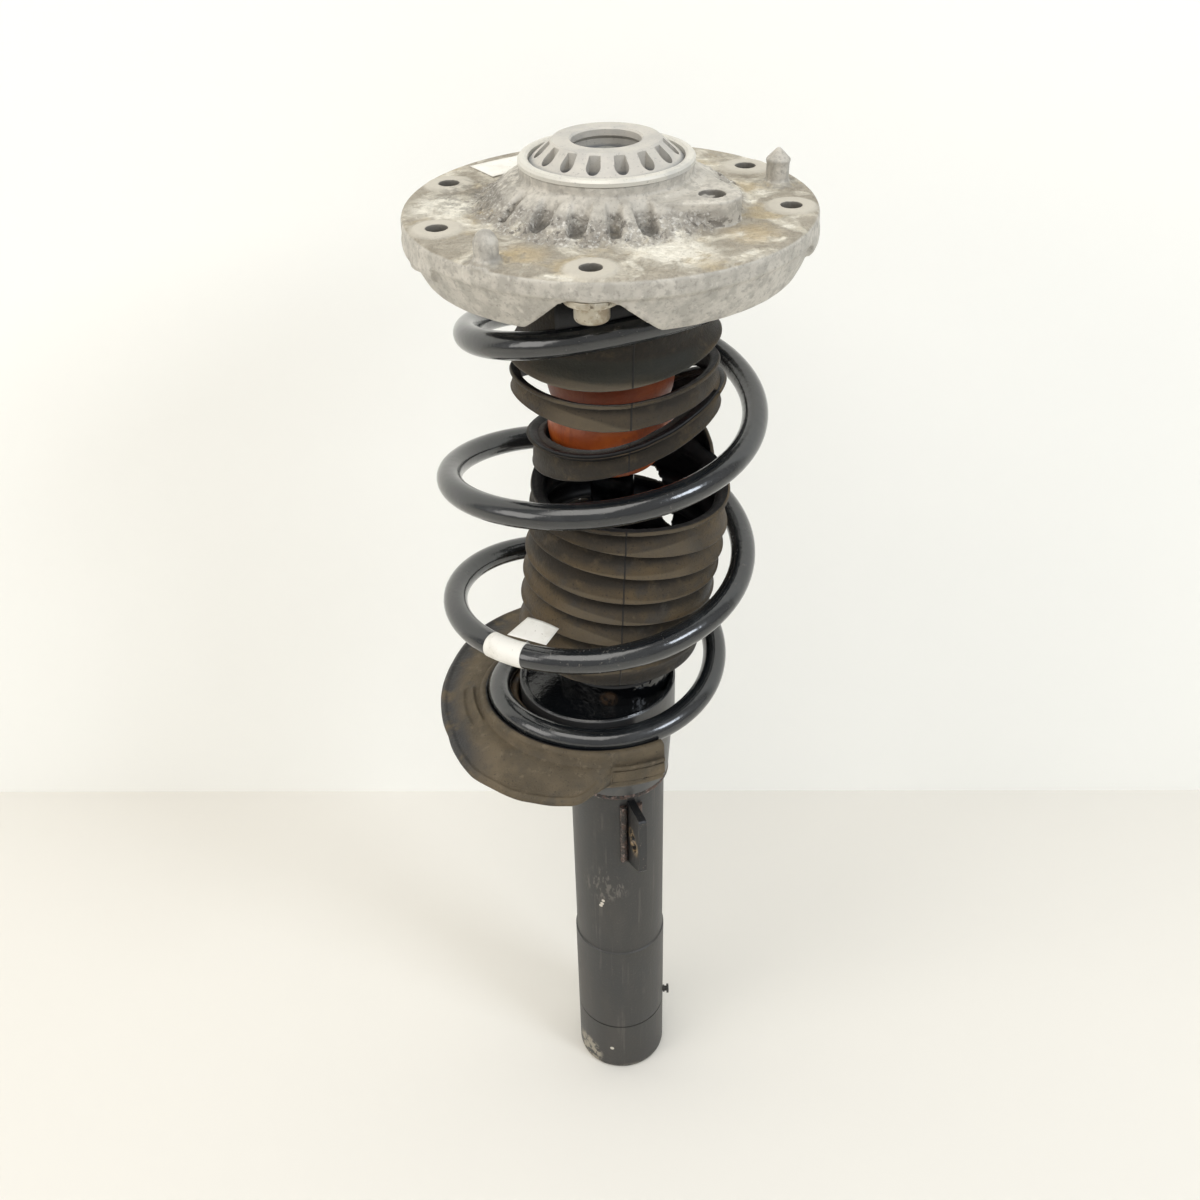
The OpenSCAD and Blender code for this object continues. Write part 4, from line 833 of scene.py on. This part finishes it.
def make_boot(outside, inside):
    """The bellows, grown from its lower lip to its collar, with two rings that tears have parted."""
    wall = Wall()
    low = wall.add_row(rail(BOOT_BOTTOM, BOOT_BOTTOM, BOOT_BOTTOM + 1, BOOT_BOTTOM, 46.6, -1))
    low_row = rail(362, 362, 362, 362, BOOT_R, -1)
    for row in (rail(353, 353, 353.5, 353, 45.2, -1), low_row):
        low = wall.grow(low, row)
    for heights, lean in RIDGES:
        high_row = rail(*heights, BOOT_R, lean)
        low = wall.fold(low, low_row, high_row)
        low_row = high_row
    torn_rim = rail(442, 455, 445, 443.4, 50.3, 9.1, ragged=0.2)
    rim = wall.fold(low, low_row, torn_rim, 5.0)
    # Lower torn ring, held to the rim by a strip at the back.
    ring_b_low = rail(490, 462, 458.5, 476, 46.4, 6.8, ragged=0.2)
    ring_b_up = rail(502, 472, 474.5, 487, 48.6, 6.8, ragged=0.15)
    low_b = wall.add_row(ring_b_low)
    up_b = wall.fold(low_b, ring_b_low, ring_b_up, 4.0)
    low = up_b
    for drop, radius in RING_LIP:
        lip_row = rail(502 - drop, 472 - drop, 474.5 - drop, 487 - drop, radius, 6.8, ragged=0.3)
        low = wall.grow(low, lip_row)
    wall.join(rim, low_b, at(70), at(120))
    # Upper torn ring, held at the right.
    ring_a_low = rail(503, 482, 500, 499, 50, 2, ragged=0.2)
    ring_a_up = rail(512.4, 500, 509, 510.4, 50, 2, ragged=0.15)
    low_a = wall.add_row(ring_a_low)
    up_a = wall.fold(low_a, ring_a_low, ring_a_up, 3.0)
    wall.join(up_b, low_a, at(335), at(390))
    # Collar, held at the back.
    edge_row = rail(526.5, 514, 518.5, 519.2, 49.9, 2, ragged=0.12)
    low = wall.add_row(edge_row)
    wall.join(up_a, low, at(60), at(135))
    top_row = rail(BOOT_TOP, BOOT_TOP, BOOT_TOP, BOOT_TOP, 41.2, 0)
    for share, radius in COLLAR:
        row = []
        middle = 2 * (1 - share)
        for a, b in zip(edge_row, top_row):
            point = a.lerp(b, share)
            out = Vector((point.x - middle, point.y, 0)).normalized()
            row.append(Vector((middle + out.x * radius, out.y * radius, point.z)))
        low = wall.grow(low, row)
    add_flap(wall, torn_rim)
    boot = piece("dust_boot_torn", wall.points, wall.faces, [outside, inside], "spring_seat")
    weld_points(boot, 0.05)
    open_slits(boot)
    modify(boot, "SOLIDIFY", thickness=BOOT_WALL * MM, offset=-1, use_rim=True, material_offset=1)
    boot.data.shade_smooth()
    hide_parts("dust_boot")
    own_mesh(boot)


# ---------------------------------------------------------------- spring pads and bump stop

PAN_Z = 300.0
UPPER_SEAT_Z = 567.4
# Outline of the wing, as directions and distances from the middle of the lowest coil.
WING = ((98, 66.8), (103.2, 88.7), (116.5, 101.4), (134.4, 99), (156.7, 92), (173.3, 88.7),
        (198.6, 86.7), (222, 90.5), (243.1, 89.8), (260.3, 86), (263.5, 83.2), (268.8, 75.4),
        (274.8, 68.4), (280.8, 65.3), (288.8, 64.5), (301.2, 65.1))
WING_EDGE_Z = 309.0
WING_THICK = 3.8
# Directions where the pads start and end; the upper one is counted from the wire's lower end.
LOWER_PAD = (100, 299)
UPPER_PAD_FROM = 1332.0


def wing_reach(degrees):
    """Distance of the wing's edge from the coil's middle."""
    return float(np.interp(degrees, *zip(*WING)))


def wing_height(degrees, distance, root, reach):
    """Height of the wing's upper side at a direction and a distance from the coil's middle."""
    share = min(1.0, max(0.0, (distance - root) / max(reach - root, 0.5)))
    root_z = min(316.0, coil_point(coil_share(degrees)).z - 2.5)
    z = root_z + (WING_EDGE_Z - root_z) * (0.35 * share + 0.65 * smoothstep(share))
    # The flap is lifted in front of a fold, and drops behind it.
    fold = smoothstep((degrees - 205) / 21) * (1 - smoothstep((degrees - 226) / 3.5))
    z += 3.2 * fold * hump(distance, 64, 86)
    z -= 1.6 * hump(degrees, 226, 250) * hump(distance, 66, 90)
    # A slit with a raised lip, and a shallow dent beside it.
    slit = 70 - 2.0 * (degrees - 176) / 26
    along = smoothstep((degrees - 175) / 4) * (1 - smoothstep((degrees - 199) / 4))
    z += 1.6 * along * hump(distance, slit - 1.6, slit + 1.6)
    z -= 1.3 * along * hump(distance, slit + 1.2, slit + 6)
    # A bead along the edge.
    bead = reach - 2.2
    return z + 0.9 * hump(distance, bead - 2, bead + 2)


def groove(start, step, distance, height):
    """Section of the groove that the wire lies in, from an angle onwards by even steps."""
    turns = [radians(start + k * step) for k in range(13)]
    return [(distance + GROOVE_R * cos(t), height + GROOVE_R * sin(t)) for t in turns]


def pad_section(degrees):
    """Cross-section of the lower pad: the block with the wire's groove, and the wing outside it."""
    u = coil_share(degrees)
    wire, middle, way = coil_point(u), coil_middle(u), toward(degrees)
    radius = (Vector((wire.x, wire.y, 0)) - middle).length
    lip = wire.z - 0.26 * GROOVE_R
    inner, lip_out = radius - 10, radius + 9.2
    rows = [(inner, PAN_Z), (inner, lip - 1.6), (inner + 0.5, lip - 0.5), (radius - 8.6, lip)]
    rows += groove(195, 12.5, radius, wire.z)
    rows += [(radius + 7.4, lip + 1.2), (lip_out, lip + 1.3), (lip_out + 1.2, lip + 0.7),
             (lip_out + 1.9, lip - 0.7)]
    root = lip_out + 2.4
    reach = max(wing_reach(degrees), root + 0.6)
    reach += 0.5 * lumps((way.x * 4, way.y * 4, 2))
    top = []
    for k in range(40):
        distance = root + (reach - 0.9 - root) * k / 39
        z = wing_height(degrees, distance, root, reach)
        place = middle + way * distance
        z += 0.55 * lumps((place.x / 14, place.y / 14, 5))
        top.append((distance, min(z, lip + 0.4)))
    rows += top
    edge_z = top[-1][1]
    rows += [(reach, edge_z - 0.8), (reach, edge_z - 2.6), (reach - 1, edge_z - 3.4)]
    for k in range(10):
        distance = root + (reach - root) * (9 - k) / 10
        rows.append((distance, wing_height(degrees, distance, root, reach) - WING_THICK))
    rows += [(root - 0.6, top[0][1] - 4.4), (root - 0.8, PAN_Z + 2), (root - 1.8, PAN_Z)]
    return [tuple(middle + way * d + Vector((0, 0, z))) for d, z in rows]


def make_lower_pad(material):
    """The pad under the lowest coil, with its wide wing."""
    start, end = LOWER_PAD
    points, faces = skin([pad_section(start + (end - start) * k / 200) for k in range(201)])
    pad = piece("lower_spring_pad_winged", points, faces, [material], "damper_body")
    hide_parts("lower_spring_pad")


def make_upper_pad(material):
    """Ramp between the top coil and the upper seat, with the wire's groove below."""
    rings = []
    start, end = UPPER_PAD_FROM, COIL_FROM + 360 * COIL_TURNS - 0.5
    for k in range(121):
        degrees = start + (end - start) * k / 120
        wire, way = coil_point(coil_share(degrees)), toward(degrees)
        lip = wire.z + 0.26 * GROOVE_R
        rows = [(1.2, UPPER_SEAT_Z), (1.2, wire.z + 1.07 * GROOVE_R)]
        rows += groove(80, 7.1, 0, wire.z)
        rows += [(-8.6, lip), (-9.3, lip + 0.4), (-9.6, lip + 1.2), (-9.6, UPPER_SEAT_Z)]
        foot = Vector((wire.x, wire.y, 0))
        rings.append([tuple(foot + way * d + Vector((0, 0, z))) for d, z in rows])
    pad = piece("upper_spring_pad_ramp", *skin(rings), [material], "spring_seat")
    weld_points(pad, 0.01)
    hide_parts("upper_spring_pad")
    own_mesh(pad)


def make_bump_stop(material):
    """Four soft lobes with tight waists, slightly uneven as foam moulds are."""
    low, high, foot = 458.2, 571.8, 8.0
    sides, bore = 96, 11.4
    lobe = (high - low - foot) / 4
    heights = [low + foot * k / 6 for k in range(6)]
    heights += [low + foot + (high - low - foot) * k / 96 for k in range(97)]
    turns = [2 * pi * i / sides for i in range(sides)]
    rings = []
    for z in heights:
        if z < low + foot:
            radius = 18.5 + 8 * sqrt(max(0, (z - low) / foot))
        else:
            radius = 26.5 + 4.4 * abs(sin(pi * (z - low - foot) / lobe)) ** 0.55
        row = []
        for a in turns:
            r = radius + 0.18 * lumps((3 * cos(a), 3 * sin(a), z / 9))
            row.append((r * cos(a), r * sin(a), z))
        rings.append(row)
    rings += [[(bore * cos(a), bore * sin(a), z) for a in turns] for z in (high, low)]
    points, faces = skin(rings + [rings[0]], capped=False)
    stop = piece("bump_stop_foam", points, faces, [material], "top_mount")
    weld_points(stop, 0.01)
    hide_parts("bump_stop")


# ---------------------------------------------------------------- mount plate

# Size of the cubes that the casting is remeshed to.
GRAIN = 0.8
# Underside of the plate over the notches, where the inserts' flanges seat.
INSERT_Z = 577.9
LABEL_MIDDLE, LABEL_SIZE = (-44.3, 54.2), (34, 20.5)
LABEL_ALONG = (0.82, 0.572)


def gusset_height(radius, direction):
    """Height of the gussets' slope, with its hollows."""
    crest = np.interp(radius, (40, 43.5, 48, 55.5, 59), (599.8, 598.6, 595.2, 588.6, PLATE_TOP))
    floor = np.interp(radius, (40, 41.5, 44, 47.5, 54, 58), (599.8, 597, 591.6, 588.8, 587.8, PLATE_TOP))
    open_share = np.zeros_like(radius)
    for angle, half in POCKETS:
        turned = np.radians(direction - angle)
        across = np.abs(radius * np.sin(turned)) + 50 * (np.cos(turned) < 0)
        beyond = np.maximum(radius - (54.5 - half), 0)
        reach = np.hypot(across, beyond)
        open_share = np.maximum(open_share, 1 - smoothstep((reach - half + 1.0) / 1.7))
    return crest - open_share * (crest - floor), open_share


def plain_casting(material):
    """A copy of the solid plate, opened under its inserts and filled round the hub, in one soft skin."""
    plate = nodes["mount_plate"].copy()
    plate.data = nodes["mount_plate"].data.copy()
    plate.name = "mount_plate_casting"
    bpy.context.scene.collection.objects.link(plate)
    plate.data.materials.clear()
    plate.data.materials.append(material)
    pits = []
    for k in OVER_NOTCHES:
        x, y = hole_place(HOLE_ANGLES[k])
        pits.append(skin([[(x + 14 * cos(0.13 * i), y + 14 * sin(0.13 * i), z) for i in range(48)]
                          for z in (556, INSERT_Z)]))
    cutter = piece("cut", *several(pits), [material], "top_mount")
    weld_points(cutter, 0.01)
    modify(plate, "BOOLEAN", operation="DIFFERENCE", object=cutter, solver="EXACT")
    profile = [(36.5, 585), (62, 585), (62, PLATE_TOP), (40.7, 600), (36.5, 600)]
    filling = piece("fill", *lathe(profile), [material], "top_mount")
    weld_points(filling, 0.01)
    both = bmesh.new()
    both.from_mesh(plate.data)
    both.from_mesh(filling.data)
    both.to_mesh(plate.data)
    both.free()
    for helper in (cutter, filling):
        bpy.data.objects.remove(helper)
    modify(plate, "REMESH", mode="VOXEL", voxel_size=GRAIN * MM, use_smooth_shade=True)
    modify(plate, "SMOOTH", factor=0.5, iterations=2)
    return plate


def clear_of(x, y, place, reach, soft):
    """0 within reach of a place in plan, 1 away from it."""
    return smoothstep((np.hypot(x - place[0], y - place[1]) - reach) / soft)


def cast_surface(x, y, z):
    """New heights of the casting's points: sloping gussets with hollows, crust on top, a grained skirt."""
    radius = np.hypot(x, y)
    direction = np.degrees(np.arctan2(y, x)) % 360
    beside_ear = 1 - smoothstep((direction - 291) / 5) * (1 - smoothstep((direction - 385) / 5))
    beside_ear *= smoothstep((direction - 27) / 5)
    slope, hollow = gusset_height(radius, direction)
    sloped = (z > PLATE_TOP - 0.5) & (radius > 39.8) & (radius < 63.5)
    made = np.where(sloped & (z > slope), z + (slope - z) * beside_ear, z)
    # The crust stays off the rim, the pads, the label and the studs.
    crust = 1 - clear_of(x, y, PLATE_MIDDLE, PLATE_R - 7, 5)
    for angle in HOLE_ANGLES:
        crust *= clear_of(x, y, hole_place(angle), 9, 5)
    crust *= clear_of(x, y, LABEL_MIDDLE, 12, 8)
    for stud in STUDS:
        crust *= clear_of(x, y, stud, 6, 3)
    upper = smoothstep((z - PLATE_TOP + 1.5) / 1.2)
    crust *= upper * (1 - smoothstep((made - 594) / 4)) * smoothstep((radius - 40) / 3)
    ribbed = (1 - smoothstep((radius - 55) / 8)) * (1 - hollow)
    for i in np.nonzero(crust > 0.01)[0]:
        point = (x[i], y[i], made[i])
        lift = 0.45 * lumps(point, 3.1) + 0.4 * lumps(point, 8.5)
        lift += ribbed[i] * 1.1 * lumps(point, 2.3)
        made[i] += crust[i] * lift
    for i in np.nonzero(upper < 0.5)[0]:
        made[i] += 0.12 * lumps((x[i], y[i], z[i]), 6.0)
    return made


def make_mount_plate(material):
    """The cast mount with soft edges, hollows between its gussets and a rough crust on its flange."""
    plate = plain_casting(material)
    flat = np.empty(len(plate.data.vertices) * 3)
    plate.data.vertices.foreach_get("co", flat)
    spots = flat.reshape(-1, 3) / MM
    spots[:, 2] = cast_surface(*spots.T)
    plate.data.vertices.foreach_set("co", (spots * MM).ravel())
    plate.data.update()
    plate.data.shade_smooth()
    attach(plate, "top_mount")
    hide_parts("mount_plate")


def make_inserts(material):
    """Two flanged inserts over the skirt's notches, and four plain bushes."""
    bore, top = 4.3, 583.5
    flanged = [(bore, 566.4), (6.6, 566.4), (7.3, 567.4), (7.35, 574.6), (11.4, 574.7), (11.8, 575.1),
               (11.8, 577.4), (11.3, 577.85), (6.3, INSERT_Z), (6.3, top), (bore, top)]
    plain = [(bore, 572.4), (6, 572.4), (6.35, 573), (6.35, top), (bore, top)]
    parts = [lathe(flanged if k in OVER_NOTCHES else plain, *hole_place(angle), 64)
             for k, angle in enumerate(HOLE_ANGLES)]
    inserts = piece("insert_bushes_zinc", *several(parts), [material], "top_mount")
    weld_points(inserts, 0.001)
    modify(inserts, "BEVEL", width=0.4 * MM, segments=2, angle_limit=0.6)
    inserts.data.shade_smooth()
    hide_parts("insert_bushes")


# ---------------------------------------------------------------- labels

# Directions on the wire between which the label is wrapped, and the corners of its free end.
WRAP = (585.0, 601.0)
FLAG = ((-53.7, -54.8, 391), (-34.4, -64.5, 391.3), (-28.2, -53, 392.6), (-43.9, -42.7, 392.6))


def make_wire_label(material):
    """A bare label wrapped round the wire, and the flag that its end makes."""
    start, end = map(coil_share, WRAP)
    outer = wire_rings(start, end, 24, WIRE_R + 0.16, 40, ends=False)
    inner = wire_rings(start, end, 24, WIRE_R + 0.04, 40, ends=False)
    points, faces = skin(outer + inner[::-1] + [outer[0]], capped=False)
    wrap = piece("wire_label_wrap", points, faces, [material], "damper_body")
    corners = [Vector(corner) for corner in FLAG]

    def flag_point(w, v, side):
        point = corners[0].lerp(corners[1], w).lerp(corners[3].lerp(corners[2], w), v)
        point.z += 0.8 * sin(pi * w) * v - 0.14 * side
        return point

    flag = piece("wire_label_flag", *sheet(flag_point, 12, 12), [material], "damper_body")
    for label in (wrap, flag):
        weld_points(label, 0.002, fill=True)
        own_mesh(label)


def make_plate_label(material):
    """A bare label stuck on the mount's flange, behind the hub."""
    along, out = Vector((*LABEL_ALONG, 0)), Vector((-LABEL_ALONG[1], LABEL_ALONG[0], 0))

    def label_point(w, v, side):
        point = Vector((*LABEL_MIDDLE, PLATE_TOP + 0.45 - 0.15 * side))
        point += along * (w - 0.5) * LABEL_SIZE[0] + out * (v - 0.5) * LABEL_SIZE[1]
        point.z += 0.12 * lumps(point, 9)
        return point

    label = piece("plate_label", *sheet(label_point, 10, 16), [material], "top_mount")
    weld_points(label, 0.002, fill=True)


# ---------------------------------------------------------------- build

make_spring(spring_coating())
make_boot(boot_rubber(), inner_rubber())
make_lower_pad(pad_rubber())
make_upper_pad(black_rubber())
make_bump_stop(orange_foam())
film = label_film()
make_wire_label(film)
make_plate_label(film)
make_mount_plate(cast_aluminium())
make_inserts(zinc_steel())

BY_FINISH = {
    tube_paint: ["strut_tube", "base_cap", "locating_pin"],
    plateau_paint: ["lower_spring_seat"],
    cap_paint: ["tube_cap"],
    bracket_paint: ["link_bracket"],
    weld_steel: ["seat_weld", "bracket_weld"],
    bare_steel: ["pressure_tube", "base_valve", "rod_guide", "bearing_lower_race", "bearing_balls",
                 "inner_sleeve", "stop_washer", "piston", "piston_nut", "bearing_upper_race"],
    rod_chrome: ["piston_rod"],
    black_rubber: ["rod_seal", "mount_bush", "rebound_stop"],
    black_plastic: ["upper_spring_seat", "bearing_cage"],
    seat_paint: ["bump_stop_cup"],
    zinc_steel: ["rod_nut"],
    clean_aluminium: ["mount_cone"],
    ring_aluminium: ["clamp_ring"],
}
for finish, names in BY_FINISH.items():
    material = finish()
    for name in names:
        nodes[name].data.materials.clear()
        nodes[name].data.materials.append(material)

# ---------------------------------------------------------------- stage, light and camera

# In metres from here on: the stage's reach, and the foot of the wall far to the left and right.
FAR, WALL_HEIGHT = 6, 5
WALL_LEFT, WALL_RIGHT = (-FAR, 0.445), (FAR, 0.041)


def backdrop(name, corners, material):
    """A flat surface of the stage."""
    mesh = bpy.data.meshes.new(name)
    mesh.from_pydata(corners, [], [tuple(range(len(corners)))])
    mesh.materials.append(material)
    made = new_object(name, mesh)


def stage_paint(name, colour):
    """Matt emulsion paint, rolled on."""
    f = Finish(name, colour, 0.85)
    f.paint(f.spots(900, 0.3, 0.8, detail=1), colour, 0.9, 0.5)
    return f.done()


def open_from_behind(material):
    """Lets a look from behind the wall pass through it."""
    tree = material.node_tree
    surface = tree.nodes["Material Output"].inputs["Surface"]
    behind = add_node(tree, "NewGeometry").outputs["Backfacing"]
    clear = add_node(tree, "BsdfTransparent").outputs[0]
    mixed = add_node(tree, "MixShader", {0: behind, 1: surface.links[0].from_socket, 2: clear})
    tree.links.new(mixed.outputs[0], surface)
    return material


backdrop("floor", [(-FAR, -FAR, 0), (FAR, -FAR, 0), (*WALL_RIGHT, 0), (*WALL_LEFT, 0)],
         stage_paint("painted_floor", "#e3e0d9"))
backdrop("wall", [(*WALL_LEFT, 0), (*WALL_RIGHT, 0), (*WALL_RIGHT, WALL_HEIGHT), (*WALL_LEFT, WALL_HEIGHT)],
         open_from_behind(stage_paint("painted_wall", "#f8f8f4")))


def lamp(name, place, target, size, power, colour):
    """A soft square lamp that looks at a target."""
    data = bpy.data.lights.new(name, "AREA")
    data.shape = "SQUARE"
    data.size = size
    data.energy = power
    data.color = colour
    made = new_object(name, data)
    made.location = place
    made.rotation_euler = (Vector(target) - Vector(place)).to_track_quat("-Z", "Y").to_euler()


lamp("softbox_top", (-0.5, -0.9, 2.3), (0, 0, 0.4), 1.6, 21, (1.0, 0.97, 0.92))
lamp("softbox_left", (-2.0, -1.0, 1.2), (0, 0, 0.35), 1.2, 12.5, (1.0, 0.97, 0.93))
lamp("window_right", (1.6, -1.2, 1.7), (0, 0, 0.45), 0.7, 19, (0.84, 0.91, 1.0))

world = bpy.data.worlds.new("pale_room")
world.use_nodes = True
glow = world.node_tree.nodes["Background"].inputs
glow["Color"].default_value = (1.0, 0.99, 0.97, 1.0)
glow["Strength"].default_value = 0.55
bpy.context.scene.world = world
bpy.context.scene.view_settings.view_transform = "Standard"

# A camera of 39 mm on a 36 mm square frame, looking down by 35.27 degrees and rolled by -1.44 degrees.
TILT, ROLL = radians(35.27), radians(-1.44)
CAMERA_PLACE = (-0.0076, -0.5692, 0.7743)
# Focal length and width of the frame, both in pixels.
FOCAL_PX, FRAME_PX = 1300, 1200
camera_data = bpy.data.cameras.new("camera")
camera_data.sensor_width = 36.0
camera_data.sensor_fit = "HORIZONTAL"
camera_data.lens = camera_data.sensor_width * FOCAL_PX / FRAME_PX
camera = new_object("camera", camera_data)
look = Vector((0, cos(TILT), -sin(TILT)))
level = Vector((1, 0, 0))
upright = level.cross(look)
across = level * cos(ROLL) + upright * sin(ROLL)
upward = upright * cos(ROLL) - level * sin(ROLL)
turn = Matrix((across, upward, -look)).transposed().to_4x4()
camera.matrix_world = Matrix.Translation(CAMERA_PLACE) @ turn
bpy.context.scene.camera = camera
